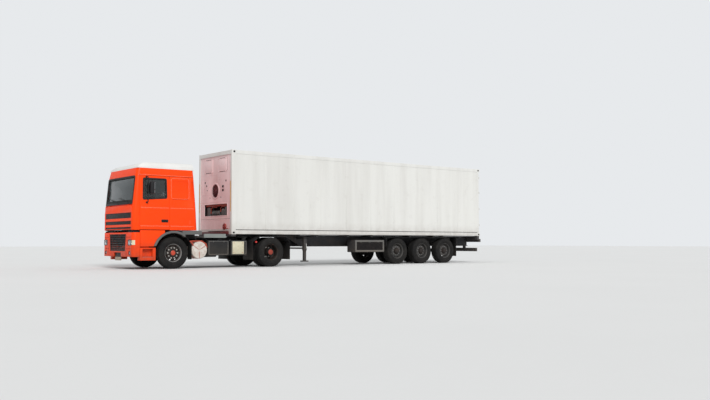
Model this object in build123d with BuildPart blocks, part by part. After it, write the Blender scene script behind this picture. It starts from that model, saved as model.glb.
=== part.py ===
"""Refrigerated truck: a tilt-cab tractor with a skeletal trailer and a refrigerated container on it.

Millimetres. +Z is up, the nose points along -X and the vehicle's left side is -Y.
The origin is on the ground under the middle of the vehicle.
"""

import os
from math import cos, radians, sin

from build123d import *

os.makedirs("parts", exist_ok=True)

# Layout from the nose to the tail
front_overhang = 1390
tractor_wheelbase = 3700
kingpin_lead = 600
kingpin_setback = 990
container_length = 12192
tail_overhang = 58

# Widths, as distances from the middle plane
cab_half = 1240
bumper_half = cab_half + 5
container_half = 1219

# Fits and gaps
running_fit = 0.05
panel_gap = 12
rest_gap = 0.3

# Sides of a plain rod, and the mark of a truly round one: each joint has one such face on its axis
rod_sides = 8
truly_round = 0
flat_share = cos(radians(180 / rod_sides))

# Stations
container_front = front_overhang + tractor_wheelbase - kingpin_lead - kingpin_setback
overall_length = container_front + container_length + tail_overhang
nose_x = -overall_length / 2
front_axle_x = nose_x + front_overhang
drive_axle_x = front_axle_x + tractor_wheelbase
kingpin_x = drive_axle_x - kingpin_lead
box_x = kingpin_x - kingpin_setback
box_end_x = box_x + container_length


def slab(x, y, z, mode=Mode.ADD):
    """A block between the two values of each pair."""
    with Locations(((x[0] + x[1]) / 2, (y[0] + y[1]) / 2, (z[0] + z[1]) / 2)):
        Box(x[1] - x[0], y[1] - y[0], z[1] - z[0], mode=mode)


def on_side(sign, near, far):
    """The span between two distances from the middle plane, on the side of that sign."""
    return (near, far) if sign > 0 else (-far, -near)


def across(y, x=0, z=0):
    """A plane seen from the left side, with its own x along +X and its own y up."""
    return Plane(origin=(x, y, z), x_dir=(1, 0, 0), z_dir=(0, -1, 0))


def along(x, y=0, z=0):
    """A plane that faces the tail, with its own x along +Y and its own y up."""
    return Plane(origin=(x, y, z), x_dir=(0, 1, 0), z_dir=(1, 0, 0))


def side_plate(points, y, mode=Mode.ADD):
    """An outline of (x, z) points, as thick as the pair y."""
    with BuildSketch(across(y[1])) as outline:
        Polygon(*points, align=None)
    extrude(outline.sketch, amount=y[1] - y[0], mode=mode)


def cross_plate(points, x, mode=Mode.ADD):
    """An outline of (y, z) points, as long as the pair x."""
    with BuildSketch(along(x[0])) as outline:
        Polygon(*points, align=None)
    extrude(outline.sketch, amount=x[1] - x[0], mode=mode)


def disc(plane, radius, sides, hole):
    """A section with its corners, or a hole's flats, on the circle, or round where sides is 0."""
    with BuildSketch(plane) as section:
        if sides:
            RegularPolygon(radius, sides, major_radius=not hole, rotation=180 / sides)
        else:
            Circle(radius)
    return section.sketch


def rod_x(x, y, z, radius, mode=Mode.ADD, sides=rod_sides):
    section = disc(along(x[0], y, z), radius, sides, mode == Mode.SUBTRACT)
    extrude(section, amount=x[1] - x[0], mode=mode)


def rod_y(x, y, z, radius, mode=Mode.ADD, sides=rod_sides):
    section = disc(across(y[1], x, z), radius, sides, mode == Mode.SUBTRACT)
    extrude(section, amount=y[1] - y[0], mode=mode)


def rod_z(x, y, z, radius, mode=Mode.ADD, sides=rod_sides):
    section = disc(Plane(origin=(x, y, z[0])), radius, sides, mode == Mode.SUBTRACT)
    extrude(section, amount=z[1] - z[0], mode=mode)


def drum_y(x, y, z, radius, sides, mode=Mode.ADD):
    """A prism along Y with a flat side down; radius is to the flats."""
    with BuildSketch(across(y[1], x, z)) as section:
        RegularPolygon(radius, sides, major_radius=False, rotation=90 + 180 / sides)
    extrude(section.sketch, amount=y[1] - y[0], mode=mode)


def save(piece, name):
    """Label a finished piece and write it under its node's name."""
    piece.part.label = name
    export_step(piece.part, f"parts/{name}.step")


# Wheels. Round pieces have flats in place of true circles, so that the whole truck stays light
tyre_radius = 515
tyre_sides = 24
tyre_shoulder = 440
tyre_shoulder_width = 32
rim_radius = 286
rim_sides = 12
rim_wall = 22
rim_disc = 16
hub_radius = 130
hub_sides = 8
stub_radius = 45
tractor_tyre_width = 312
tractor_rim_width = 230
trailer_tyre_width = 375
trailer_rim_width = 298
front_wheel_y = 1094
drive_wheel_y = 1089
twin_spacing = 345
trailer_wheel_y = 1040
trailer_axle_spacing = 1310
trailer_axle_setback = 7480
trailer_axles_x = [box_x + trailer_axle_setback + n * trailer_axle_spacing for n in range(3)]


def tyre_ring(width):
    """A tyre around its own axis, with slanted shoulders and a hole for the rim."""
    with BuildPart() as ring:
        drum_y(0, (-width / 2, width / 2), 0, tyre_radius, tyre_sides)
        for side in ring.faces().filter_by(Axis.Y):
            chamfer(
                side.edges(),
                length=tyre_radius - tyre_shoulder,
                length2=tyre_shoulder_width,
                reference=side,
            )
        drum_y(0, (-width / 2, width / 2), 0, rim_radius, rim_sides, Mode.SUBTRACT)
    return ring.part


tractor_tyre = tyre_ring(tractor_tyre_width)
trailer_tyre = tyre_ring(trailer_tyre_width)


def rim(x, z, barrel, disc_y):
    """A rim's barrel, as long as the pair barrel, with its disc in the middle of disc_y."""
    drum_y(x, barrel, z, rim_radius, rim_sides)
    drum_y(x, barrel, z, rim_radius - rim_wall, rim_sides, Mode.SUBTRACT)
    drum_y(x, (disc_y - rim_disc / 2, disc_y + rim_disc / 2), z, rim_radius - rim_wall / 2, rim_sides)


# Front wheels: the disc stands well out, and the hub comes through it
front_disc_out = 60
front_hub_out = 1205
front_hub_in = 975
front_stub_end = 1185
for sign, hand in ((-1, "left"), (1, "right")):
    with BuildPart() as front_tyre:
        with Locations((front_axle_x, sign * front_wheel_y, tyre_radius)):
            add(tractor_tyre)
    save(front_tyre, f"front_tyre_{hand}")
    with BuildPart() as front_rim:
        barrel = on_side(sign, front_wheel_y - tractor_rim_width / 2, front_wheel_y + tractor_rim_width / 2)
        rim(front_axle_x, tyre_radius, barrel, sign * (front_wheel_y + front_disc_out))
        drum_y(front_axle_x, on_side(sign, front_hub_in, front_hub_out), tyre_radius, hub_radius, hub_sides)
        bore = on_side(sign, front_hub_in - 1, front_stub_end + 5)
        rod_y(front_axle_x, bore, tyre_radius, stub_radius + running_fit, Mode.SUBTRACT, truly_round)
    save(front_rim, f"front_rim_{hand}")

# Drive wheels: twins whose discs meet back to back, and a long hub to the outer face
drive_hub_out = 1190
drive_hub_in = 640
drive_stub_end = 1160
twin_middle = drive_wheel_y - twin_spacing / 2
for sign, hand in ((-1, "left"), (1, "right")):
    with BuildPart() as drive_tyres:
        for shift in (0, twin_spacing):
            with Locations((drive_axle_x, sign * (drive_wheel_y - shift), tyre_radius)):
                add(tractor_tyre)
    save(drive_tyres, f"drive_tyres_{hand}")
    with BuildPart() as drive_rims:
        outer_barrel = on_side(sign, twin_middle, drive_wheel_y + tractor_rim_width / 2)
        inner_barrel = on_side(sign, drive_wheel_y - twin_spacing - tractor_rim_width / 2, twin_middle)
        rim(drive_axle_x, tyre_radius, outer_barrel, sign * (twin_middle + rim_disc / 2))
        rim(drive_axle_x, tyre_radius, inner_barrel, sign * (twin_middle - rim_disc / 2))
        drum_y(drive_axle_x, on_side(sign, drive_hub_in, drive_hub_out), tyre_radius, hub_radius, hub_sides)
        bore = on_side(sign, drive_hub_in - 1, drive_stub_end + 5)
        rod_y(drive_axle_x, bore, tyre_radius, stub_radius + running_fit, Mode.SUBTRACT)
    save(drive_rims, f"drive_rims_{hand}")

# Trailer wheels: wide singles, one tyre and rim to a node
trailer_disc_out = 60
trailer_hub_out = 1190
trailer_hub_in = 880
trailer_stub_end = 1165
for number, axle_x in enumerate(trailer_axles_x, 1):
    for sign, hand in ((-1, "left"), (1, "right")):
        with BuildPart() as trailer_wheel:
            with Locations((axle_x, sign * trailer_wheel_y, tyre_radius)):
                add(trailer_tyre)
            barrel = on_side(
                sign,
                trailer_wheel_y - trailer_rim_width / 2,
                trailer_wheel_y + trailer_rim_width / 2,
            )
            rim(axle_x, tyre_radius, barrel, sign * (trailer_wheel_y + trailer_disc_out))
            drum_y(axle_x, on_side(sign, trailer_hub_in, trailer_hub_out), tyre_radius, hub_radius, hub_sides)
            bore = on_side(sign, trailer_hub_in - 1, trailer_stub_end + 5)
            rod_y(axle_x, bore, tyre_radius, stub_radius + running_fit, Mode.SUBTRACT)
        save(trailer_wheel, f"trailer_wheel_{hand}_{number}")

# Steering: kingpins in the beam's eyes, forked knuckles, and a tie rod behind the beam
kingpin_y = 860
kingpin_radius = 25
eye_radius = 60
eye_z = (445, 585)
fork_gap = 3
fork_plate = 42
fork_web_y = (925, 968)
fork_half_x = 62
arm_length = 250
ball_pin_radius = 14
tie_rod_radius = 18
tie_boss_radius = 34

for sign, hand in ((-1, "left"), (1, "right")):
    with BuildPart() as knuckle:
        top = (eye_z[1] + fork_gap, eye_z[1] + fork_gap + fork_plate)
        bottom = (eye_z[0] - fork_gap - fork_plate, eye_z[0] - fork_gap)
        for level in (top, bottom):
            rod_z(front_axle_x, sign * kingpin_y, level, eye_radius)
            slab((front_axle_x - 50, front_axle_x + 50), on_side(sign, kingpin_y, fork_web_y[1]), level)
        web_x = (front_axle_x - fork_half_x, front_axle_x + fork_half_x)
        slab(web_x, on_side(sign, *fork_web_y), (bottom[0], top[1]))
        rod_y(front_axle_x, on_side(sign, fork_web_y[0], front_stub_end), tyre_radius, stub_radius)
        rod_z(front_axle_x, sign * kingpin_y, (bottom[0], top[1]), kingpin_radius)
        slab(
            (front_axle_x, front_axle_x + arm_length),
            (sign * kingpin_y - 24, sign * kingpin_y + 24),
            bottom,
        )
        rod_z(front_axle_x + arm_length, sign * kingpin_y, bottom, tie_boss_radius)
        rod_z(front_axle_x + arm_length, sign * kingpin_y, (340, bottom[0]), ball_pin_radius)
    save(knuckle, f"knuckle_{hand}")

with BuildPart() as tie_rod:
    rod_level = (350, bottom[0] - 3)
    rod_middle = sum(rod_level) / 2
    rod_y(front_axle_x + arm_length, (-kingpin_y, kingpin_y), rod_middle, tie_rod_radius)
    for sign in (-1, 1):
        rod_z(front_axle_x + arm_length, sign * kingpin_y, rod_level, tie_boss_radius)
    for sign, clearance, sides in ((-1, running_fit, truly_round), (1, rest_gap, rod_sides)):
        hole = ball_pin_radius + clearance
        rod_z(front_axle_x + arm_length, sign * kingpin_y, rod_level, hole, Mode.SUBTRACT, sides)
save(tie_rod, "tie_rod")

# Front axle beam, dropped in the middle, with its eyes and leaf springs
rail_top = 900
rail_height = 260
rail_bottom = rail_top - rail_height
rail_outer = 430
rail_flange = 80
rail_wall = 12
beam_half_x = 55
beam_low = 360
beam_drop_y = 560
spring_y = (375, 455)
spring_half_length = 780
spring_thickness = 44
spring_eye_z = 600
spring_seat_z = 500

with BuildPart() as front_axle:
    beam_top = beam_low + 110
    beam = [
        (-kingpin_y, eye_z[0] + 20),
        (-beam_drop_y - 120, eye_z[0] + 20),
        (-beam_drop_y, beam_low),
        (beam_drop_y, beam_low),
        (beam_drop_y + 120, eye_z[0] + 20),
        (kingpin_y, eye_z[0] + 20),
        (kingpin_y, eye_z[1] - 20),
        (beam_drop_y + 100, eye_z[1] - 20),
        (beam_drop_y - 40, beam_top),
        (-beam_drop_y + 40, beam_top),
        (-beam_drop_y - 100, eye_z[1] - 20),
        (-kingpin_y, eye_z[1] - 20),
    ]
    cross_plate(beam, (front_axle_x - beam_half_x, front_axle_x + beam_half_x))
    for sign in (-1, 1):
        rod_z(front_axle_x, sign * kingpin_y, eye_z, eye_radius)
        rod_z(front_axle_x, sign * kingpin_y, eye_z, kingpin_radius + running_fit, Mode.SUBTRACT, truly_round)
        seat_x = (front_axle_x - 90, front_axle_x + 90)
        slab(seat_x, on_side(sign, *spring_y), (beam_top - 20, spring_seat_z))
        stations = [spring_half_length * n / 3 for n in range(-3, 4)]
        rise = spring_eye_z - spring_seat_z
        low = [(front_axle_x + x, spring_seat_z + rise * (x / spring_half_length) ** 2) for x in stations]
        high = [(x, z + spring_thickness * (1 - 0.4 * (z - spring_seat_z) / rise)) for x, z in reversed(low)]
        side_plate(low + high, on_side(sign, *spring_y))
save(front_axle, "front_axle")

# Tractor frame: two channel rails, cross members, cab pivots, cab rests and spring hangers
frame_front = nose_x + 250
frame_rear = drive_axle_x + 910
pivot_x = nose_x + 180
pivot_z = 960
pivot_radius = 20
pivot_boss = 45
ear_y = (470, 550)
bracket_y = (430, 462)
cab_rest_x = (nose_x + 2080, nose_x + 2160)
longitudinal_z = (1300, 1430)
cross_members = (
    frame_front + 60,
    nose_x + 2720,
    nose_x + 3500,
    kingpin_x,
    drive_axle_x - 330,
    frame_rear - 60,
)
member_z = (rail_bottom + 60, rail_top - 30)
tow_jaw_z = (430, 520)
tow_bore_x = nose_x + 115
tow_bore_radius = 21

with BuildPart() as tractor_frame:
    for sign in (-1, 1):
        web = on_side(sign, rail_outer - rail_wall, rail_outer)
        slab((frame_front, frame_rear), web, (rail_bottom, rail_top))
        flange = on_side(sign, rail_outer - rail_flange, rail_outer)
        slab((frame_front, frame_rear), flange, (rail_top - rail_wall, rail_top))
        slab((frame_front, frame_rear), flange, (rail_bottom, rail_bottom + rail_wall))
        bracket = [
            (pivot_x - pivot_boss, pivot_z - 20),
            (frame_front, rail_bottom + 60),
            (frame_front + 420, rail_top - 40),
            (frame_front + 300, rail_top),
            (pivot_x + pivot_boss, pivot_z + pivot_boss),
            (pivot_x - pivot_boss, pivot_z + pivot_boss),
        ]
        side_plate(bracket, on_side(sign, *bracket_y))
        pivot_sides = truly_round if sign < 0 else rod_sides
        rod_y(pivot_x, on_side(sign, bracket_y[0], ear_y[1] + 12), pivot_z, pivot_radius, sides=pivot_sides)
        slab(cab_rest_x, on_side(sign, rail_outer, ear_y[1]), (rail_top - 120, rail_top))
        slab(cab_rest_x, on_side(sign, *ear_y), (rail_top, longitudinal_z[0] - rest_gap))
        for end in (-1, 1):
            hanger_x = front_axle_x + end * spring_half_length
            hanger_inner = hanger_x - end * 50
            hanger_span = (min(hanger_x, hanger_inner), max(hanger_x, hanger_inner))
            slab(
                hanger_span,
                on_side(sign, *spring_y),
                (spring_eye_z + spring_thickness * 0.6, rail_bottom + 20),
            )
    slab((frame_front - 10, frame_front + 60), (-60, 60), (tow_jaw_z[0], member_z[1]))
    for lip in ((tow_jaw_z[0], tow_jaw_z[0] + 26), (tow_jaw_z[1] - 26, tow_jaw_z[1])):
        slab((tow_bore_x - 45, frame_front), (-60, 60), lip)
    with BuildSketch(Plane(origin=(tow_bore_x, 0, tow_jaw_z[0]))) as tow_bore:
        Circle(tow_bore_radius)
    extrude(tow_bore.sketch, amount=tow_jaw_z[1] - tow_jaw_z[0], mode=Mode.SUBTRACT)
    for member_x in cross_members:
        slab((member_x - 45, member_x + 45), (-rail_outer + rail_wall, rail_outer - rail_wall), member_z)
save(tractor_frame, "tractor_frame")

# Engine and gearbox: one plain block on its mounts, with the shaft to the drive axle
engine_x = (nose_x + 700, nose_x + 1900)
engine_half = 310
engine_z = (500, 1360)
gearbox_x = (nose_x + 1900, nose_x + 2640)
shaft_radius = 55
shaft_z = 640
diff_radius = 190
diff_front = drive_axle_x - 260

with BuildPart() as engine_gearbox:
    slab(engine_x, (-engine_half, engine_half), engine_z)
    for sign in (-1, 1):
        slab(
            (engine_x[0] + 300, engine_x[0] + 420),
            on_side(sign, engine_half, rail_outer - rail_wall),
            (700, 780),
        )
    gearbox = [
        (gearbox_x[0], 520),
        (gearbox_x[1], 560),
        (gearbox_x[1], 760),
        (gearbox_x[0] + 250, 900),
        (gearbox_x[0], 900),
    ]
    side_plate(gearbox, (-190, 190))
    rod_x((gearbox_x[1] - 20, diff_front), 0, shaft_z, shaft_radius)
save(engine_gearbox, "engine_gearbox")

# Drive axle: banjo housing with its stubs, carriers and air springs under the rails
drive_axle_tube = 78
air_bag_radius = 90
with BuildPart() as drive_axle:
    rod_y(drive_axle_x, (-drive_hub_in + 1, drive_hub_in - 1), tyre_radius, drive_axle_tube)
    rod_x((diff_front, drive_axle_x + 200), 0, tyre_radius, diff_radius)
    slab((diff_front, drive_axle_x), (-70, 70), (tyre_radius, shaft_z + 60))
    for sign in (-1, 1):
        stub = on_side(sign, drive_hub_in - 60, drive_stub_end)
        rod_y(drive_axle_x, stub, tyre_radius, stub_radius, sides=truly_round)
        carrier = [
            (drive_axle_x - 480, 420),
            (drive_axle_x + 480, 420),
            (drive_axle_x + 480, 460),
            (drive_axle_x + 120, 500),
            (drive_axle_x - 120, 500),
            (drive_axle_x - 480, 460),
        ]
        side_plate(carrier, on_side(sign, 350, 450))
        slab((drive_axle_x - 70, drive_axle_x + 70), on_side(sign, 350, 450), (420, 520))
        for end in (-1, 1):
            rod_z(drive_axle_x + end * 380, sign * 400, (450, rail_bottom), air_bag_radius)
save(drive_axle, "drive_axle")

# Left side: silencer drum and two boxes with a pale cover; right side: fuel tank
silencer_x = nose_x + 2320
silencer_z = 600
silencer_radius = 285
silencer_y = (600, 1215)
silencer_sides = 20
silencer_rim = 25
with BuildPart() as silencer:
    rod_y(silencer_x, on_side(-1, *silencer_y), silencer_z, silencer_radius, sides=silencer_sides)
    chamfer(silencer.edges().filter_by(Axis.Y, reverse=True), length=silencer_rim)
    for shift in (-150, 150):
        slab(
            (silencer_x + shift - 25, silencer_x + shift + 25),
            on_side(-1, rail_outer, silencer_y[0] + 60),
            (680, 760),
        )
save(silencer, "silencer")

side_box_y = (600, 1180)
side_box_z = (415, 930)
side_boxes_x = ((nose_x + 2640, nose_x + 3430), (nose_x + 3500, nose_x + 4130))
cover_x = (nose_x + 3560, nose_x + 4000)
cover_thickness = 22
with BuildPart() as side_boxes:
    for box_span in side_boxes_x:
        slab(box_span, on_side(-1, *side_box_y), side_box_z)
    chamfer(side_boxes.edges().filter_by(Axis.X), length=30)
    for box_span in side_boxes_x:
        for shift in (120, box_span[1] - box_span[0] - 180):
            slab(
                (box_span[0] + shift, box_span[0] + shift + 60),
                on_side(-1, rail_outer, side_box_y[0] + 40),
                (740, 820),
            )
save(side_boxes, "side_boxes")

with BuildPart() as box_cover:
    slab(
        cover_x,
        on_side(-1, side_box_y[1], side_box_y[1] + cover_thickness),
        (side_box_z[0] + 45, side_box_z[1] - 45),
    )
save(box_cover, "box_cover")

tank_x = (nose_x + 2140, nose_x + 3900)
tank_y = (580, 1200)
tank_z = (330, 950)
with BuildPart() as fuel_tank:
    slab(tank_x, tank_y, tank_z)
    fillet(fuel_tank.edges().filter_by(Axis.X), radius=90)
    for shift in (250, 1400):
        slab((tank_x[0] + shift, tank_x[0] + shift + 80), (rail_outer, tank_y[0] + 20), (640, 760))
save(fuel_tank, "fuel_tank")

# Catwalk behind the cab, below the sweep of the trailer's neck
catwalk_x = (nose_x + 2490, nose_x + 3300)
catwalk_z = (1012, 1050)
catwalk_half = 1150
valance_z = (1010, 1140)
valance = 40
with BuildPart() as catwalk:
    slab(catwalk_x, (-catwalk_half, catwalk_half), catwalk_z)
    for sign in (-1, 1):
        slab(catwalk_x, on_side(sign, catwalk_half, catwalk_half + valance), valance_z)
        for shift in (120, 640):
            post_x = (catwalk_x[0] + shift, catwalk_x[0] + shift + 50)
            slab(post_x, on_side(sign, rail_outer - rail_flange, rail_outer), (rail_top, catwalk_z[0]))
save(catwalk, "catwalk")

# Fifth wheel: a horseshoe plate on two pedestals
plate_top = 1060
plate_thickness = 36
plate_half = 450
plate_front = kingpin_x - 330
plate_rear = kingpin_x + 480
pin_radius = 25.4
throat_half = 180
with BuildPart() as fifth_wheel:
    horseshoe = [
        (plate_front, -plate_half + 130),
        (plate_front + 130, -plate_half),
        (plate_rear - 120, -plate_half),
        (plate_rear, -plate_half + 90),
        (plate_rear, -throat_half),
        (kingpin_x + 60, -pin_radius - running_fit),
        (kingpin_x + 60, pin_radius + running_fit),
        (plate_rear, throat_half),
        (plate_rear, plate_half - 90),
        (plate_rear - 120, plate_half),
        (plate_front + 130, plate_half),
        (plate_front, plate_half - 130),
    ]
    with BuildSketch(Plane.XY.offset(plate_top - plate_thickness)):
        Polygon(*horseshoe, align=None)
        with Locations((kingpin_x, 0)):
            Circle(pin_radius + running_fit, mode=Mode.SUBTRACT)
        with Locations((kingpin_x + 31, 0)):
            Rectangle(62, 2 * (pin_radius + running_fit), mode=Mode.SUBTRACT)
    extrude(amount=plate_thickness)
    for sign in (-1, 1):
        pedestal_y = on_side(sign, rail_outer - rail_flange, rail_outer)
        slab((kingpin_x - 110, kingpin_x + 110), pedestal_y, (rail_top, plate_top - plate_thickness))
    slab((kingpin_x - 260, kingpin_x + 260), (-rail_outer, rail_outer), (rail_top, rail_top + 14))
save(fifth_wheel, "fifth_wheel")

# Mudguards over the twin wheels, flat on top so that the trailer's neck clears them
guard_y = (585, 1245)
guard_top = 1050
guard_sheet = 9
guard_reach = 765
guard_slope = 170
guard_bottom = 250
with BuildPart() as drive_mudguards:
    outer = [
        (-guard_reach, guard_bottom),
        (-guard_reach, guard_top - guard_slope),
        (-guard_reach + guard_slope, guard_top),
        (guard_reach - guard_slope, guard_top),
        (guard_reach, guard_top - guard_slope),
        (guard_reach, guard_bottom),
        (guard_reach - guard_sheet, guard_bottom),
        (guard_reach - guard_sheet, guard_top - guard_slope - guard_sheet / 2),
        (guard_reach - guard_slope - guard_sheet / 2, guard_top - guard_sheet),
        (-guard_reach + guard_slope + guard_sheet / 2, guard_top - guard_sheet),
        (-guard_reach + guard_sheet, guard_top - guard_slope - guard_sheet / 2),
        (-guard_reach + guard_sheet, guard_bottom),
    ]
    profile = [(drive_axle_x + x, z) for x, z in outer]
    for sign in (-1, 1):
        side_plate(profile, on_side(sign, *guard_y))
        for end in (-1, 1):
            stay_x = drive_axle_x + end * (guard_reach - 20)
            slab((stay_x - 12, stay_x + 12), on_side(sign, rail_outer, guard_y[1] - 200), (780, 810))
save(drive_mudguards, "drive_mudguards")

# Bumper with corner panels, lower grille, lamps and entrance steps, all on the frame
bumper_z = (400, 1170)
bumper_wall = 60
bumper_depth = 240
bumper_corner = 130
grille_half = 700
grille_foot_half = 640
grille_z = (575, 1120)
grille_rim = 40
lamp_y = (bumper_half - 375, bumper_half - 95)
lamp_z = (765, 935)
fog_y = bumper_half - 245
fog_z = 520
fog_radius = 60
plate_recess_half = 300
tow_pin_room = 80
bumper_beam_x = (nose_x + bumper_wall - 5, nose_x + bumper_wall + 50)
bumper_beam_z = (640, 760)


def grille_outline(rim):
    """The lower grille's outline of (y, z) points, drawn in by rim."""
    low, high = grille_z[0] + rim, grille_z[1] - rim
    return [
        (-grille_foot_half + rim, low),
        (grille_foot_half - rim, low),
        (grille_half - rim, high),
        (-grille_half + rim, high),
    ]


with BuildPart() as bumper:
    with BuildSketch(Plane.XY.offset(bumper_z[0])) as ring:
        with Locations((nose_x + bumper_depth, 0)):
            Rectangle(2 * bumper_depth, 2 * bumper_half)
        fillet(ring.vertices().group_by(Axis.X)[0], radius=bumper_corner)
        with Locations((nose_x + bumper_depth + bumper_wall, 0)):
            Rectangle(2 * bumper_depth, 2 * (bumper_half - bumper_wall), mode=Mode.SUBTRACT)
        with Locations((nose_x + 1.5 * bumper_depth, 0)):
            Rectangle(bumper_depth, 2 * bumper_half, mode=Mode.SUBTRACT)
    extrude(amount=bumper_z[1] - bumper_z[0])
    front_zone = (nose_x - 5, nose_x + bumper_wall + 5)
    cross_plate(grille_outline(0), front_zone, Mode.SUBTRACT)
    slab(front_zone, (-plate_recess_half, plate_recess_half), (bumper_z[0] - 5, 530), Mode.SUBTRACT)
    for sign in (-1, 1):
        slab(front_zone, on_side(sign, *lamp_y), lamp_z, Mode.SUBTRACT)
        rod_x(front_zone, sign * fog_y, fog_z, fog_radius, Mode.SUBTRACT)
        slab(
            (nose_x + bumper_wall, frame_front),
            on_side(sign, rail_outer - rail_flange, rail_outer),
            (660, 740),
        )
        slab(bumper_beam_x, on_side(sign, tow_pin_room, grille_half + 80), bumper_beam_z)
save(bumper, "bumper")

louvre_count = 8
louvre_drop = 14
with BuildPart() as lower_grille:
    frame_x = (nose_x + 8, nose_x + 48)
    blade_x = (frame_x[0], frame_x[1] - 12)
    cross_plate(grille_outline(0), frame_x)
    cross_plate(grille_outline(grille_rim), frame_x, Mode.SUBTRACT)
    pitch = (grille_z[1] - grille_z[0] - 2 * grille_rim) / louvre_count
    for n in range(louvre_count):
        base = grille_z[0] + grille_rim + n * pitch
        share = (base - grille_z[0]) / (grille_z[1] - grille_z[0])
        half = grille_foot_half + share * (grille_half - grille_foot_half) - grille_rim / 2
        blade = [
            (blade_x[0], base + louvre_drop / 2),
            (blade_x[1], base + pitch - 1.5 * louvre_drop),
            (blade_x[1], base + pitch - louvre_drop / 2),
            (blade_x[0], base + 1.5 * louvre_drop),
        ]
        side_plate(blade, (-half, half))
    for rib_y in (-230, 230):
        slab((blade_x[1], frame_x[1]), (rib_y - 8, rib_y + 8), grille_z)
save(lower_grille, "lower_grille")

with BuildPart() as front_lamps:
    for sign in (-1, 1):
        slab((nose_x + 4, nose_x + 55), on_side(sign, *lamp_y), lamp_z)
        rod_x((nose_x + 8, nose_x + 50), sign * fog_y, fog_z, fog_radius / flat_share)
save(front_lamps, "front_lamps")

step_tyre_gap = 105
step_x = (nose_x + 252, front_axle_x - tyre_radius - step_tyre_gap)
step_y = (bumper_half - 185, bumper_half)
step_z = (285, 685)
with BuildPart() as lower_steps:
    for sign in (-1, 1):
        slab(step_x, on_side(sign, *step_y), step_z)
        pocket_x = (step_x[0] + 80, step_x[1] - 90)
        slab(
            pocket_x,
            on_side(sign, step_y[0] + 35, step_y[1] + 5),
            (step_z[0] + 100, step_z[1] - 35),
            Mode.SUBTRACT,
        )
        slab(
            (step_x[0] + 20, step_x[0] + 80),
            on_side(sign, rail_outer, step_y[0]),
            (rail_bottom + 10, rail_bottom + 50),
        )
save(lower_steps, "lower_steps")

# Cab: profiles as (height, depth behind the nose) and (height, half width)
cab_wall = 60
firewall = 30
cab_corner = 110
corner_facets = 4
cab_bottom = 1250
roof_line = 3220
cab_front = ((cab_bottom, 0), (1800, 0), (2970, 110), (roof_line, 165))
cab_rear = ((cab_bottom, 2230), (roof_line, 2105))
cab_side = ((cab_bottom, cab_half), (1960, cab_half), (2970, cab_half - 50), (roof_line, cab_half - 80))
floor_z = (1430, 1470)
door_x = (nose_x + 225, nose_x + 1225)
door_z = (1262, 2985)
hinge_radius = 12
hinge_pin = 7
hinge_levels = (1420, 1780)
hinge_half = 45
window = [
    (nose_x + 330, 2215),
    (nose_x + 1140, 2270),
    (nose_x + 1125, 2895),
    (nose_x + 345, 2895),
]
screen_half = cab_half - 135

# Front flap under the windscreen, with its hinge line and its dark bands
flap_z = (1262, 2028)
flap_half = cab_half - 122
flap_axis_z = 2042
flap_thickness = 40
flap_hinge_y = 800
flap_knuckle = 30
flap_pin_radius = 5
flap_axis_x = nose_x + 12
bands = ((1270, 1345), (1410, 1535), (1610, 1800))
band_half = flap_half - 33
screen_z = (2095, 2950)


def at_level(profile, level):
    """The value of a profile of (height, value) points at a height between them."""
    for (low, start), (high, end) in zip(profile, profile[1:]):
        if low <= level <= high:
            return start + (end - start) * (level - low) / (high - low)


def cab_form(inset, facets=1, over=0):
    """The cab's form, drawn in by inset: flat faces between its levels, with each corner in facets."""
    radius = cab_corner - inset
    levels = sorted({height for profile in (cab_front, cab_rear, cab_side) for height, value in profile})
    rings = []
    for level in levels:
        front = nose_x + at_level(cab_front, level) + cab_corner
        rear = nose_x + at_level(cab_rear, level) - cab_corner
        half = at_level(cab_side, level) - cab_corner
        lift = {levels[0]: -over, levels[-1]: over}.get(level, 0)
        ring = []
        for turn, centre in enumerate(((rear, half), (front, half), (front, -half), (rear, -half))):
            for step in range(facets + 1):
                angle = radians(90 * (turn + step / facets))
                ring.append((centre[0] + radius * cos(angle), centre[1] + radius * sin(angle), level + lift))
        rings.append(ring)
    faces = [Face(Wire.make_polygon(ring)) for ring in (rings[0], rings[-1])]
    for lower, upper in zip(rings, rings[1:]):
        for n in range(len(lower)):
            faces.append(Face(Wire.make_polygon((lower[n - 1], lower[n], upper[n], upper[n - 1]))))
    return Solid(Shell(faces))


cab_outer = cab_form(0, corner_facets)
cab_inner = cab_form(cab_wall, over=1)


def door_prism(sign, gap, mode):
    """The space of a door, smaller by gap all round."""
    zone = on_side(sign, cab_half - 200, cab_half + 40)
    slab(
        (door_x[0] + gap, door_x[1] - gap),
        zone,
        (door_z[0] - 60 if gap == 0 else door_z[0], door_z[1] - gap),
        mode,
    )


pressed_x = (nose_x + 1330, nose_x + 2050)
pressed_z = (2000, 2850)
press_depth = 7
pressed_form = cab_form(press_depth)
with BuildPart() as sleeper_recess:
    slab(pressed_x, (-cab_half - 10, cab_half + 10), pressed_z)
    add(pressed_form, mode=Mode.SUBTRACT)

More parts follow.
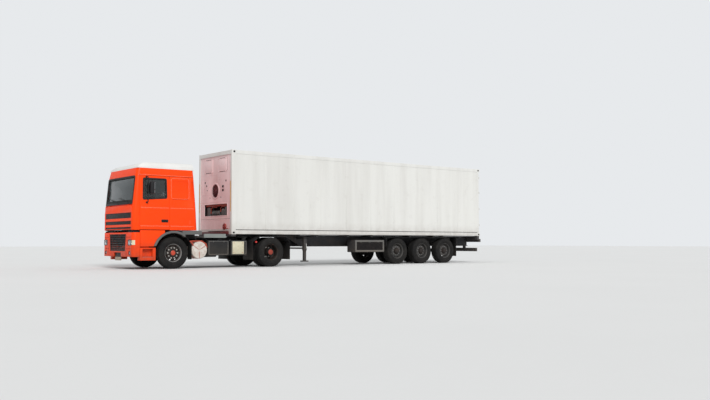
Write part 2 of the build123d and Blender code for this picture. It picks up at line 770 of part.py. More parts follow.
with BuildPart() as cab_shell:
    add(cab_outer)
    add(cab_inner, mode=Mode.SUBTRACT)
    add(sleeper_recess.part, mode=Mode.SUBTRACT)
    for sign in (-1, 1):
        door_prism(sign, 0, Mode.SUBTRACT)
    slab((nose_x - 10, nose_x + 300), (-screen_half, screen_half), screen_z, Mode.SUBTRACT)
    flap_hole = (cab_bottom - 5, flap_axis_z + 16)
    slab((nose_x - 10, nose_x + cab_wall), (-flap_half - 8, flap_half + 8), flap_hole, Mode.SUBTRACT)
    for sign in (-1, 1):
        for inner in (flap_hinge_y - flap_knuckle / 2 - 23, flap_hinge_y + flap_knuckle / 2 + 3):
            lug_y = on_side(sign, inner, inner + 20)
            lug = [
                (flap_axis_x - 9, flap_axis_z - 8),
                (flap_axis_x + 6, flap_axis_z - 8),
                (nose_x + 58, flap_axis_z + 12),
                (nose_x + 58, flap_axis_z + 24),
                (nose_x + 26, flap_axis_z + 24),
            ]
            side_plate(lug, lug_y)
        flap_pin = on_side(sign, flap_hinge_y - 38, flap_hinge_y + 38)
        flap_sides = truly_round if sign < 0 else rod_sides
        rod_y(flap_axis_x, flap_pin, flap_axis_z, flap_pin_radius, sides=flap_sides)
    firewall_half = cab_half - cab_wall - 10
    slab(
        (nose_x + cab_wall, nose_x + cab_wall + firewall),
        (-firewall_half, firewall_half),
        (floor_z[0], screen_z[0]),
    )
    floor_x = (nose_x + 40, nose_x + 2190)
    slab(floor_x, (-cab_half + cab_wall + 10, cab_half - cab_wall - 10), floor_z)
    for sign in (-1, 1):
        slab((nose_x + 480, nose_x + 2180), on_side(sign, *ear_y), longitudinal_z)
        arm = [
            (pivot_x - 28, pivot_z + 28),
            (pivot_x + 28, pivot_z - 28),
            (nose_x + 600, longitudinal_z[0] + 20),
            (nose_x + 600, longitudinal_z[1]),
            (nose_x + 520, longitudinal_z[1]),
        ]
        side_plate(arm, on_side(sign, *ear_y))
        rod_y(pivot_x, on_side(sign, *ear_y), pivot_z, 40)
        rod_y(pivot_x, on_side(sign, *ear_y), pivot_z, pivot_radius + running_fit, Mode.SUBTRACT)
        for level in hinge_levels:
            hinge_zone = (level - hinge_half, level + hinge_half)
            rod_z(
                door_x[0],
                sign * cab_half,
                (level - hinge_half - 3, level + hinge_half + 3),
                hinge_radius + 4,
                Mode.SUBTRACT,
            )
            for lug in ((level - hinge_half, level - 15), (level + 15, level + hinge_half)):
                lug_x = (door_x[0] - 40, door_x[0] + hinge_radius - 3)
                slab(lug_x, on_side(sign, cab_half - 12, cab_half + hinge_radius - 3), lug)
            pin_sides = truly_round if level == hinge_levels[0] else rod_sides
            rod_z(door_x[0], sign * cab_half, hinge_zone, hinge_pin, sides=pin_sides)
save(cab_shell, "cab_shell")

# Cab roof: a white hollow hood, domed across and sloping down to the front
roof_wall = 50
roof_front = cab_front[-1][1]
roof_rear = cab_rear[-1][1]
roof_half = cab_side[-1][1]
roof_top_front = 3415
roof_top_rear = 3470
roof_brow = (330, 3375)
roof_shoulder = 220


def roof_body(inset, foot):
    """The roof's form: its long profile cut by its domed cross profile, both drawn in by inset."""
    with BuildSketch(across(roof_half)) as hood:
        with BuildLine():
            brow = (nose_x + roof_brow[0] + inset, roof_brow[1] - inset)
            crown = (nose_x + 560, roof_top_front - inset)
            Polyline(
                brow,
                (nose_x + roof_front + 40 + inset, 3285 - inset),
                (nose_x + roof_front + inset, foot),
                (nose_x + roof_rear - inset, foot),
                (nose_x + roof_rear - 20 - inset, roof_top_rear - inset),
                crown,
            )
            ThreePointArc(crown, (nose_x + 440 + inset / 2, 3402 - inset), brow)
        make_face()
    extrude(hood.sketch, amount=2 * roof_half)
    half = roof_half - inset
    with BuildSketch(along(nose_x)) as dome:
        with BuildLine():
            Line((-half, foot), (half, foot))
            Line((half, foot), (half - 12, 3310 - inset))
            ThreePointArc(
                (half - 12, 3310 - inset),
                (half - 60, 3395 - inset),
                (half - roof_shoulder, 3440 - inset),
            )
            shoulders = (half - roof_shoulder, 3440 - inset), (-half + roof_shoulder, 3440 - inset)
            ThreePointArc(shoulders[0], (0, 3472 - inset), shoulders[1])
            ThreePointArc(shoulders[1], (-half + 60, 3395 - inset), (-half + 12, 3310 - inset))
            Line((-half + 12, 3310 - inset), (-half, foot))
        make_face()
    extrude(dome.sketch, amount=roof_rear + 100, mode=Mode.INTERSECT)


with BuildPart() as roof_cavity:
    cavity_half = roof_half - roof_wall
    cavity_top = roof_top_front - roof_wall
    profile = [
        (nose_x + roof_front + roof_wall, roof_line - 1),
        (nose_x + roof_rear - roof_wall, roof_line - 1),
        (nose_x + roof_rear - roof_wall, cavity_top),
        (nose_x + roof_brow[0] + 2 * roof_wall, cavity_top - roof_wall),
        (nose_x + roof_front + 40 + roof_wall, 3285 - roof_wall),
    ]
    side_plate(profile, (-cavity_half, cavity_half))
    with BuildSketch(along(nose_x)):
        Polygon(
            (-cavity_half, roof_line - 1),
            (cavity_half, roof_line - 1),
            (cavity_half - 20, 3290 - roof_wall),
            (cavity_half - roof_shoulder, cavity_top),
            (-cavity_half + roof_shoulder, cavity_top),
            (-cavity_half + 20, 3290 - roof_wall),
            align=None,
        )
    extrude(amount=roof_rear + 100, mode=Mode.INTERSECT)

with BuildPart() as cab_roof:
    roof_body(0, roof_line)
    add(roof_cavity.part, mode=Mode.SUBTRACT)
save(cab_roof, "cab_roof")

# Glass and doors follow the cab's own form
glass_inset = 18
glass_thickness = 8
glass_outer = cab_form(glass_inset)
glass_inner = cab_form(glass_inset + glass_thickness, over=1)
with BuildPart() as windscreen:
    add(glass_outer)
    add(glass_inner, mode=Mode.SUBTRACT)
    slab((nose_x - 10, nose_x + 200), (-screen_half, screen_half), screen_z, Mode.INTERSECT)
save(windscreen, "windscreen")

for sign, hand in ((-1, "left"), (1, "right")):
    with BuildPart() as door:
        add(cab_outer)
        door_prism(sign, panel_gap / 2, Mode.INTERSECT)
        add(cab_inner, mode=Mode.SUBTRACT)
        side_plate(window, on_side(sign, cab_half - 200, cab_half + 40), Mode.SUBTRACT)
        for level in hinge_levels:
            rod_z(
                door_x[0],
                sign * cab_half,
                (level - hinge_half - 3, level + hinge_half + 3),
                hinge_radius + 4,
                Mode.SUBTRACT,
            )
            rod_z(door_x[0], sign * cab_half, (level - 14, level + 14), hinge_radius)
            slab(
                (door_x[0], door_x[0] + 40),
                on_side(sign, cab_half - 12, cab_half),
                (level - 14, level + 14),
            )
            rod_z(
                door_x[0],
                sign * cab_half,
                (level - 14, level + 14),
                hinge_pin + running_fit,
                Mode.SUBTRACT,
            )
    save(door, f"door_{hand}")
    with BuildPart() as door_glass:
        add(glass_outer)
        add(glass_inner, mode=Mode.SUBTRACT)
        side_plate(window, on_side(sign, cab_half - 200, cab_half + 40), Mode.INTERSECT)
    save(door_glass, f"door_glass_{hand}")

# Mirrors: a tall head on two arms from each door
mirror_x = (nose_x + 500, nose_x + 640)
mirror_y = (cab_half + 60, cab_half + 210)
mirror_z = (2390, 2780)
mirror_post_x = nose_x + 450
mirror_post_y = cab_half + 105
mirror_arm_levels = (2935, 2120)
mirror_arm = 28
for sign, hand in ((-1, "left"), (1, "right")):
    with BuildPart() as mirror:
        slab(mirror_x, on_side(sign, *mirror_y), mirror_z)
        chamfer(mirror.edges().filter_by(Axis.Z), length=35)
        slab(
            (mirror_post_x - 11, mirror_post_x + 11),
            (sign * mirror_post_y - 11, sign * mirror_post_y + 11),
            (mirror_arm_levels[1], mirror_arm_levels[0]),
        )
        for level in mirror_arm_levels:
            arm_x = (mirror_post_x - mirror_arm / 2, mirror_post_x + mirror_arm / 2)
            arm_z = (level - mirror_arm / 2, level + mirror_arm / 2)
            slab(arm_x, on_side(sign, cab_half - 150, mirror_post_y + 20), arm_z)
        for level in (2480, 2690):
            bracket_x = (mirror_post_x, mirror_x[0] + 20)
            slab(bracket_x, (sign * mirror_post_y - 8, sign * mirror_post_y + 8), (level - 12, level + 12))
        add(cab_outer, mode=Mode.SUBTRACT)
    save(mirror, f"mirror_{hand}")

# Seats, bunk and dashboard
seat_y = (430, 900)
bunk_half = cab_half - 140
with BuildPart() as seats:
    for sign in (-1, 1):
        slab((nose_x + 980, nose_x + 1400), on_side(sign, seat_y[0] + 80, seat_y[1] - 80), (floor_z[1], 1760))
        slab((nose_x + 930, nose_x + 1450), on_side(sign, *seat_y), (1760, 1880))
        back = [(nose_x + 1360, 1870), (nose_x + 1450, 1870), (nose_x + 1560, 2520), (nose_x + 1460, 2520)]
        side_plate(back, on_side(sign, *seat_y))
        slab((nose_x + 1465, nose_x + 1545), on_side(sign, seat_y[0] + 110, seat_y[1] - 110), (2510, 2680))
    slab((nose_x + 1640, nose_x + 2050), (-bunk_half, bunk_half), (floor_z[1], 1950))
save(seats, "seats")

dash_z = (1780, 2110)
dash_half = cab_half - 180
with BuildPart() as dashboard:
    add(cab_inner)
    slab((nose_x + cab_wall + firewall, nose_x + 480), (-dash_half, dash_half), dash_z, Mode.INTERSECT)
    column = [(nose_x + 400, 1860), (nose_x + 470, 1840), (nose_x + 640, 2030), (nose_x + 610, 2060)]
    side_plate(column, (-690, -640))
    wheel_plane = Plane(origin=(nose_x + 640, -665, 2060), x_dir=(0, 1, 0), z_dir=(-0.66, 0, 0.75))
    with BuildSketch(wheel_plane) as steering_wheel:
        RegularPolygon(225, 16)
        RegularPolygon(195, 16, mode=Mode.SUBTRACT)
        Rectangle(400, 44)
        RegularPolygon(60, 8)
    extrude(steering_wheel.sketch, amount=26)
save(dashboard, "dashboard")

# The flap itself, and the dark bands set in its slots
with BuildPart() as grille_flap:
    slab((nose_x, nose_x + flap_thickness), (-flap_half, flap_half), flap_z)
    for band in bands:
        slab(
            (nose_x - 5, nose_x + flap_thickness + 5),
            (-band_half, band_half),
            (band[0] + 12, band[1]),
            Mode.SUBTRACT,
        )
    for sign in (-1, 1):
        hinge_y = on_side(sign, flap_hinge_y - flap_knuckle / 2, flap_hinge_y + flap_knuckle / 2)
        slab((flap_axis_x - 9, flap_axis_x + 9), hinge_y, (flap_z[1] - 10, flap_axis_z))
        rod_y(flap_axis_x, hinge_y, flap_axis_z, 10)
        rod_y(flap_axis_x, hinge_y, flap_axis_z, flap_pin_radius + running_fit, Mode.SUBTRACT)
save(grille_flap, "grille_flap")

with BuildPart() as upper_grille:
    for band in bands:
        low = band[0] + 12
        slab((nose_x + 12, nose_x + flap_thickness), (-band_half, band_half), (low, band[1]))
        fins = 2 if band[1] - band[0] < 100 else 4
        for n in range(fins):
            fin_z = low + (n + 0.5) * (band[1] - low) / fins
            slab((nose_x + 4, nose_x + 12), (-band_half, band_half), (fin_z - 5, fin_z + 5))
save(upper_grille, "upper_grille")

# Entrance panels on the step boxes, and front mudguards that stay down when the cab tilts
entry_x = (nose_x + 252, nose_x + 1080)
entry_z = (728, 1240)
arch_inner = 640
arch_outer = 716
arch_sides = 24
entry_skin = 45
entry_web_y = (cab_half - 120, cab_half - 90)
with BuildPart() as entry_panels:
    for sign in (-1, 1):
        slab(entry_x, on_side(sign, cab_half - entry_skin, cab_half), entry_z)
        shelf_x = (entry_x[0], entry_x[0] + 330)
        slab(shelf_x, on_side(sign, entry_web_y[0], cab_half - entry_skin), (entry_z[0], entry_z[0] + 20))
        slab(shelf_x, on_side(sign, *entry_web_y), (step_z[1], entry_z[1]))
        arch = on_side(sign, cab_half - 240, cab_half + 40)
        rod_y(front_axle_x, arch, tyre_radius, arch_outer, Mode.SUBTRACT, arch_sides)
save(entry_panels, "entry_panels")

trim_end = nose_x + 2380
trim_z = (1112, 1240)
arch_sheet = 14
arch_sheet_width = 150
whole_width = (-cab_half - 160, cab_half + 160)
stay_x = (nose_x + 2300, nose_x + 2340)
with BuildPart() as arch_trims:
    for sign in (-1, 1):
        lip = on_side(sign, cab_half - 30, cab_half + 8)
        sheet = on_side(sign, cab_half - arch_sheet_width, cab_half - 30)
        rod_y(front_axle_x, lip, tyre_radius, arch_outer, sides=arch_sides)
        rod_y(front_axle_x, sheet, tyre_radius, arch_inner + arch_sheet, sides=arch_sides)
        rod_y(
            front_axle_x,
            on_side(sign, cab_half - arch_sheet_width - 10, cab_half + 9),
            tyre_radius,
            arch_inner,
            Mode.SUBTRACT,
            arch_sides,
        )
    slab((nose_x, nose_x + 3000), whole_width, (-400, 740), Mode.SUBTRACT)
    slab((front_axle_x + 400, nose_x + 3000), whole_width, (700, 1400), Mode.SUBTRACT)
    for sign in (-1, 1):
        slab((front_axle_x + 300, trim_end), on_side(sign, cab_half - 40, cab_half + 8), trim_z)
        slab(stay_x, on_side(sign, rail_outer - 40, cab_half - 40), (trim_z[0], trim_z[0] + 20))
        slab(stay_x, on_side(sign, rail_outer - 40, rail_outer), (rail_top, trim_z[0]))
save(arch_trims, "arch_trims")

# Trailer frame: coupler plate and kingpin, neck in the container's tunnel, main beams, bolsters
container_bottom = 1130
container_height = 2896
tunnel_half = 515
tunnel_depth = 120
tunnel_length = 3400
neck_half = 490
neck_top = container_bottom + tunnel_depth - 10
neck_length = 3300
main_bottom = 700
main_top = container_bottom - 10
main_y = (380, 510)
main_web = 16
main_flange = 24
bolster_top = container_bottom
outriggers = (3560, 5000, 6150, 8135, 9445, 11000)
bolster_half = container_half - 19
outrigger_half = container_half - 59
end_beam_half = container_half - 9
with BuildPart() as trailer_frame:
    plate_x = (kingpin_x - 620, kingpin_x + 620)
    slab(plate_x, (-neck_half, neck_half), (plate_top, plate_top + 12))
    rod_z(kingpin_x, 0, (plate_top - 76, plate_top + 12), pin_radius, sides=truly_round)
    for sign in (-1, 1):
        slab(
            (box_x + 30, box_x + neck_length),
            on_side(sign, neck_half - 90, neck_half),
            (plate_top, neck_top),
        )
        throat = [
            (box_x + 2700, plate_top + 10),
            (box_x + 2700, plate_top),
            (box_x + 3350, main_bottom),
            (box_x + 3420, main_bottom),
            (box_x + 3420, main_top),
            (box_x + 3200, main_top),
        ]
        side_plate(throat, on_side(sign, neck_half - 60, neck_half - 30))
        beam_x = (box_x + 3350, box_end_x - 40)
        middle = (main_y[0] + main_y[1]) / 2
        slab(beam_x, on_side(sign, middle - main_web / 2, middle + main_web / 2), (main_bottom, main_top))
        slab(beam_x, on_side(sign, *main_y), (main_bottom, main_bottom + main_flange))
        slab(beam_x, on_side(sign, *main_y), (main_top - main_flange, main_top))
    for station in (300, 1900, 2900):
        member = (box_x + station, box_x + station + 80)
        slab(member, (-neck_half + 60, neck_half - 60), (plate_top, neck_top - 20))
    slab((box_x, box_x + 178), (-bolster_half, bolster_half), (plate_top, bolster_top))
    slab((box_end_x - 178, box_end_x - 40), (-bolster_half, bolster_half), (main_top - 160, bolster_top))
    for station in outriggers:
        member = (box_x + station, box_x + station + 90)
        slab(member, (-outrigger_half, outrigger_half), (main_top - 60, main_top))
        slab(member, (-main_y[0] - 60, main_y[0] + 60), (main_bottom + 60, main_top - 60))
    slab((box_end_x - 60, box_end_x + 40), (-end_beam_half, end_beam_half), (870, 1000))
    for axle_x in trailer_axles_x:
        for sign in (-1, 1):
            hanger = (axle_x - 560, axle_x - 440)
            slab(hanger, on_side(sign, *main_y), (480, main_bottom))
save(trailer_frame, "trailer_frame")

trailer_tube = 64
with BuildPart() as trailer_axles:
    for axle_x in trailer_axles_x:
        rod_y(axle_x, (-trailer_hub_in + 1, trailer_hub_in - 1), tyre_radius, trailer_tube)
        for sign in (-1, 1):
            stub = on_side(sign, trailer_hub_in - 60, trailer_stub_end)
            rod_y(axle_x, stub, tyre_radius, stub_radius, sides=truly_round)
            arm = [
                (axle_x - 440, 520),
                (axle_x - 440, 580),
                (axle_x + 60, 600),
                (axle_x + 420, 520),
                (axle_x + 420, 480),
                (axle_x, 470),
            ]
            side_plate(arm, on_side(sign, main_y[0] + 20, main_y[1] - 20))
            rod_z(axle_x + 320, sign * 445, (500, main_bottom), 105)
save(trailer_axles, "trailer_axles")

leg_x = box_x + 3190
leg_y = (870, 990)
with BuildPart() as landing_legs:
    for sign in (-1, 1):
        slab((leg_x - 60, leg_x + 60), on_side(sign, *leg_y), (560, main_top - 60))
        slab((leg_x - 48, leg_x + 48), on_side(sign, leg_y[0] + 12, leg_y[1] - 12), (190, 560))
        slab((leg_x - 130, leg_x + 130), on_side(sign, leg_y[0] - 20, leg_y[1] + 20), (150, 190))
        slab(
            (leg_x - 40, leg_x + 40),
            on_side(sign, neck_half - 30, leg_y[0]),
            (main_top - 140, main_top - 70),
        )
    rod_y(leg_x, (-leg_y[0], leg_y[0]), 640, 30)
save(landing_legs, "landing_legs")

tool_x = (box_x + 5350, box_x + 6800)
tool_y = (690, 1180)
tool_z = (480, 950)
tool_rim = 60
with BuildPart() as tool_box:
    slab(tool_x, on_side(-1, *tool_y), tool_z)
    chamfer(tool_box.edges().filter_by(Axis.X), length=25)
    tool_face = (tool_x[0] + tool_rim, tool_x[1] - tool_rim)
    slab(
        tool_face,
        on_side(-1, tool_y[1] - 30, tool_y[1] + 5),
        (tool_z[0] + tool_rim, tool_z[1] - tool_rim),
        Mode.SUBTRACT,
    )
    for shift in (150, 1200):
        slab(
            (tool_x[0] + shift, tool_x[0] + shift + 80),
            on_side(-1, main_y[1], tool_y[0] + 20),
            (main_bottom, main_bottom + 20),
        )
save(tool_box, "tool_box")

shelf_z = (main_top - 60 - 8, main_top - 60)
with BuildPart() as trailer_mudguards:
    guard_x = (trailer_axles_x[0] - 600, trailer_axles_x[-1] + 620)
    for sign in (-1, 1):
        slab(guard_x, on_side(sign, 850, 1235), shelf_z)
        slab((guard_x[1] - 10, guard_x[1]), on_side(sign, 850, 1235), (280, shelf_z[1]))
        slab((guard_x[0], guard_x[0] + 10), on_side(sign, 850, 1235), (700, shelf_z[1]))
save(trailer_mudguards, "trailer_mudguards")

with BuildPart() as underrun_guard:
    slab((box_end_x - 230, box_end_x - 130), (-1170, 1170), (470, 620))
    for sign in (-1, 1):
        slab((box_end_x - 210, box_end_x - 150), on_side(sign, *main_y), (620, main_bottom))
save(underrun_guard, "underrun_guard")

with BuildPart() as tail_lamps:
    for sign in (-1, 1):
        slab((box_end_x + 40, box_end_x + tail_overhang), on_side(sign, 780, 1180), (885, 985))
save(tail_lamps, "tail_lamps")

# Container: a hollow box with its frame, corner castings, tunnel and recessed side panels
container_top = container_bottom + container_height
side_wall = 76
roof_wall_c = 110
floor_wall = 165
unit_depth = 430
unit_half = 1115
unit_sill = 20
unit_z = (container_bottom + floor_wall + unit_sill, container_top - 140)
rail_seam = 1300
casting = (178, 162, 118)
rear_recess = 62
inside_z = (container_bottom + floor_wall, container_top - roof_wall_c)
panel_inset = 8
casting_foot = 12
container_door_outer = box_end_x - 90
container_door_thickness = 75
sill_gap = 15
sill_drop = 20
door_hinge_levels = (1600, 2300, 3000, 3650)
door_pin_radius = 9
door_eye_radius = 14
lug_z = (22, 45)
lug_half = 12
lifting_pitch = (container_length - 207, 2 * container_half - 179)
lifting_slot = (124, 63.5)
with BuildPart() as container_shell:
    slab(
        (box_x, box_end_x),
        (-container_half, container_half),
        (container_bottom + casting_foot, container_top - 6),
    )
    inside = (-container_half + side_wall, container_half - side_wall)
    slab((box_x + unit_depth, box_end_x + 5), inside, inside_z, Mode.SUBTRACT)
    slab((box_x - 5, box_x + unit_depth + 5), (-unit_half, unit_half), unit_z, Mode.SUBTRACT)
    tunnel_z = (container_bottom, container_bottom + tunnel_depth)
    slab((box_x - 5, box_x + tunnel_length), (-tunnel_half, tunnel_half), tunnel_z, Mode.SUBTRACT)
    for sign in (-1, 1):
        recess = on_side(sign, container_half - panel_inset, container_half + 5)
        slab((box_x + 170, box_end_x - 170), recess, (rail_seam, container_top - 130), Mode.SUBTRACT)
    slab(
        (box_end_x - rear_recess, box_end_x + 5),
        (-container_half - 5, container_half + 5),
        (container_bottom, container_top),
        Mode.SUBTRACT,
    )
    sill_x = (container_door_outer - container_door_thickness - sill_gap, box_end_x - rear_recess + 5)
    slab(sill_x, inside, (inside_z[0] - sill_drop, inside_z[0] + 1), Mode.SUBTRACT)
    for end_x in (box_x + casting[0] / 2, box_end_x - casting[0] / 2):
        for sign in (-1, 1):
            for base in (container_bottom, container_top - casting[2]):
                corner_x = (end_x - casting[0] / 2, end_x + casting[0] / 2)
                slab(
                    corner_x,
                    on_side(sign, container_half - casting[1], container_half),
                    (base, base + casting[2]),
                )
                slot_x = (end_x - 40, end_x + 40)
                slab(
                    slot_x,
                    on_side(sign, container_half - 40, container_half + 5),
                    (base + 28, base + 90),
                    Mode.SUBTRACT,
                )
    with BuildSketch(Plane.XY.offset(container_top)) as lifting_slots:
        with Locations(((box_x + box_end_x) / 2, 0)):
            with GridLocations(lifting_pitch[0], lifting_pitch[1], 2, 2):
                SlotOverall(lifting_slot[0], lifting_slot[1])
    extrude(lifting_slots.sketch, amount=-40, mode=Mode.SUBTRACT)
    door_axis_x = box_end_x - 20
    door_axis_y = container_half - 14
    for sign in (-1, 1):
        for level in door_hinge_levels:
            for lug in ((level - lug_z[1], level - lug_z[0]), (level + lug_z[0], level + lug_z[1])):
                lug_y = on_side(sign, door_axis_y - lug_half, door_axis_y + lug_half)
                slab((box_end_x - rear_recess - 5, door_axis_x + lug_half), lug_y, lug)
            pin_z = (level - lug_z[1], level + lug_z[1])
            pin_sides = truly_round if level == door_hinge_levels[0] else rod_sides
            rod_z(door_axis_x, sign * door_axis_y, pin_z, door_pin_radius, sides=pin_sides)
save(container_shell, "container_shell")

unit_face = box_x + 25
fan_z = container_bottom + 1530
fan_radius = 250
fan_hub_radius = 60
fan_blades = 6
bay_y = (-860, 810)
bay_z = (container_bottom + 660, container_bottom + 1060)
bay_depth = 260
access_y = (195, 825)
access_z = (container_bottom + 2200, container_bottom + 2650)
compressor_radius = 90
with BuildPart() as refrigeration_unit:
    slab((unit_face, box_x + unit_depth), (-unit_half, unit_half), unit_z)
    rod_x((unit_face - 5, unit_face + 120), 0, fan_z, fan_radius, Mode.SUBTRACT, 2 * rod_sides)
    slab((unit_face - 5, unit_face + bay_depth), bay_y, bay_z, Mode.SUBTRACT)
    for sign in (-1, 1):
        slab((unit_face - 14, unit_face), on_side(sign, *access_y), access_z)
save(refrigeration_unit, "refrigeration_unit")

with BuildPart() as unit_machinery:
    rod_x((unit_face + 20, unit_face + 120), 0, fan_z, fan_hub_radius)
    for n in range(fan_blades):
        with Locations(Location((unit_face + 60, 0, fan_z), (360 / fan_blades * n, 0, 0))):
            with Locations(Location((0, 0, 130), (0, 0, 35))):
                Box(10, 90, 180)
    slab((unit_face + 120, unit_face + bay_depth), (bay_y[0], bay_y[0] + 560), (bay_z[0], bay_z[0] + 340))
    rod_y(unit_face + 170, (-150, 450), bay_z[0] + compressor_radius * flat_share, compressor_radius)
    slab((unit_face + 150, unit_face + bay_depth), (500, 760), (bay_z[0], bay_z[0] + 300))
save(unit_machinery, "unit_machinery")

container_door_z = (inside_z[0] + 12, inside_z[1] - 12)

bar_places = (300, 820)
bar_z = (1310, 3900)
bar_radius = 17
bar_stand_off = 42
guide_half = 24
guide_levels = (1500, 2600, 3700)

# A hinge strap's outline as (x, y inward) from its pin, cranked round the post's corner
leaf_face = container_door_outer - door_axis_x
strap_outline = (
    (6, 2),
    (-16, 64),
    (leaf_face + 12, 106),
    (leaf_face + 12, 150),
    (leaf_face, 150),
    (leaf_face, 96),
    (-28, 56),
    (-8, 0),
)
for sign, hand in ((-1, "left"), (1, "right")):
    with BuildPart() as container_door:
        leaf_y = on_side(sign, 6, container_half - side_wall - 10)
        slab(
            (container_door_outer - container_door_thickness, container_door_outer),
            leaf_y,
            container_door_z,
        )
        for bar_y in bar_places:
            rod_z(container_door_outer + bar_stand_off, sign * bar_y, bar_z, bar_radius)
            for level in guide_levels:
                guide_x = (container_door_outer, container_door_outer + bar_stand_off + guide_half)
                slab(guide_x, on_side(sign, bar_y - guide_half, bar_y + guide_half), (level - 25, level + 25))
        for level in door_hinge_levels:
            strap_z = (level - lug_z[0] + 2, level + lug_z[0] - 2)
            with BuildSketch(Plane.XY.offset(strap_z[0])) as strap:
                Polygon(*[(door_axis_x + x, sign * (door_axis_y - y)) for x, y in strap_outline], align=None)
            extrude(strap.sketch, amount=strap_z[1] - strap_z[0])
            rod_z(door_axis_x, sign * door_axis_y, strap_z, door_eye_radius)
            rod_z(door_axis_x, sign * door_axis_y, strap_z, door_pin_radius + running_fit, Mode.SUBTRACT)
    save(container_door, f"container_door_{hand}")
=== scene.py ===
from math import cos, pi, radians, sin

import bmesh
import bpy
from mathutils import Matrix, Vector


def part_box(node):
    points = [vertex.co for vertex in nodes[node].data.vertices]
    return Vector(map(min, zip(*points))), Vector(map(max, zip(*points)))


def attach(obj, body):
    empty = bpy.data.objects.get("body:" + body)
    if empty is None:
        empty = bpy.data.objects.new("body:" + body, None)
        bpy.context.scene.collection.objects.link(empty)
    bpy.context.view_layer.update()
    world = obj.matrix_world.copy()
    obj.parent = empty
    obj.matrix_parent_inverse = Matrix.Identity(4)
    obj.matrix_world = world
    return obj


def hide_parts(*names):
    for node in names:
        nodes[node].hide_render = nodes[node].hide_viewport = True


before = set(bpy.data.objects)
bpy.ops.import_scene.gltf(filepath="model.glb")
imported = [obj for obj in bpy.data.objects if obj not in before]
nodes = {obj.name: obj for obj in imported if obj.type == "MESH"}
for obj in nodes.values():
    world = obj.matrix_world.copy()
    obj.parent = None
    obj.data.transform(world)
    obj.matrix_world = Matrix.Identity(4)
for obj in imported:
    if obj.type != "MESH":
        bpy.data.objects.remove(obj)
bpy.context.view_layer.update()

# Looks of the refrigerated truck. Metres, the nose points along -X and the left side is -Y
scene = bpy.context.scene
sides = ((-1, "left"), (1, "right"))


def middle(node):
    """The middle of a CAD node's box."""
    low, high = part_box(node)
    return (low + high) / 2


# Driving places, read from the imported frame
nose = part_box("bumper")[0].x
front_axle = middle("front_tyre_left").x
drive_axle = middle("drive_tyres_left").x
wheel_radius = middle("front_tyre_left").z
shell_low, shell_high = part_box("container_shell")
box_x = shell_low.x
box_end = shell_high.x
box_bottom = shell_low.z
box_top = shell_high.z
box_half = shell_high.y

# The cab's form as (height, depth behind the nose) and (height, half width)
cab_front = ((1.25, 0.0), (1.8, 0.0), (2.97, 0.11), (3.22, 0.165))
cab_side = ((1.25, 1.24), (1.96, 1.24), (2.97, 1.19), (3.22, 1.16))


def at_level(profile, level):
    """The value of a profile of (height, value) pairs, carried on past its ends."""
    for (low, start), (high, end) in zip(profile, profile[1:]):
        if level <= high or high == profile[-1][0]:
            return start + (end - start) * (level - low) / (high - low)


# Surfaces that carry an outline of (u, v) points. Each gives the place of a point that stands d outwards
def on_front(u, v, d):
    """The cab's front, from the nose, at width u and height v."""
    return (at_level(cab_front, v) - d, u, v)


def on_side(u, v, d):
    """The cab's side, from the nose, at length u and height v."""
    return (u, at_level(cab_side, v) + d, v)


def facing_x(x, sign=-1):
    """The upright plane at x, for outlines of (y, z)."""
    return lambda u, v, d: (x + sign * d, u, v)


def facing_y(y):
    """The upright plane at y, for outlines of (x, z)."""
    return lambda u, v, d: (u, y + d, v)


def facing_up(u, v, d):
    """The level plane at the form's own height, for outlines of (x, y)."""
    return (u, v, d)


# Ranges and outlines
def about(place, half):
    """The range that reaches half to both sides of a place."""
    return (place - half, place + half)


def rectangle(u, v):
    return [(u[0], v[0]), (u[1], v[0]), (u[1], v[1]), (u[0], v[1])]


def corners(points):
    """Each corner of an outline between its neighbours, as vectors."""
    count = len(points)
    for n in range(count):
        yield [Vector(points[(n + k) % count]) for k in (-1, 0, 1)]


def rounded(points, radius, steps=5):
    """An outline with each corner turned into a curve that starts radius away from it."""
    result = []
    for before, corner, after in corners(points):
        start = corner + (before - corner).normalized() * min(radius, (before - corner).length / 2)
        end = corner + (after - corner).normalized() * min(radius, (after - corner).length / 2)
        for step in range(steps + 1):
            t = step / steps
            result.append(tuple(start * (1 - t) ** 2 + corner * 2 * t * (1 - t) + end * t * t))
    return result


def drawn_in(points, by):
    """An anticlockwise outline with every side moved inwards."""
    result = []
    for before, corner, after in corners(points):
        a = (corner - before).normalized()
        b = (after - corner).normalized()
        normals = Vector((-a.y - b.y, a.x + b.x))
        result.append(tuple(corner + normals * (by / (1 + a.dot(b)))))
    return result


def circle(count, radius, start=0.0):
    """Points of a circle about the origin, the first at the angle start."""
    angles = [start + 2 * pi * n / count for n in range(count)]
    return [(radius * cos(a), radius * sin(a)) for a in angles]


def ring_points(centre, radius, count=32, stretch=1.0):
    """A circle about a centre, or an oval with its width stretched."""
    return [(centre[0] + stretch * a, centre[1] + b) for a, b in circle(count, radius)]


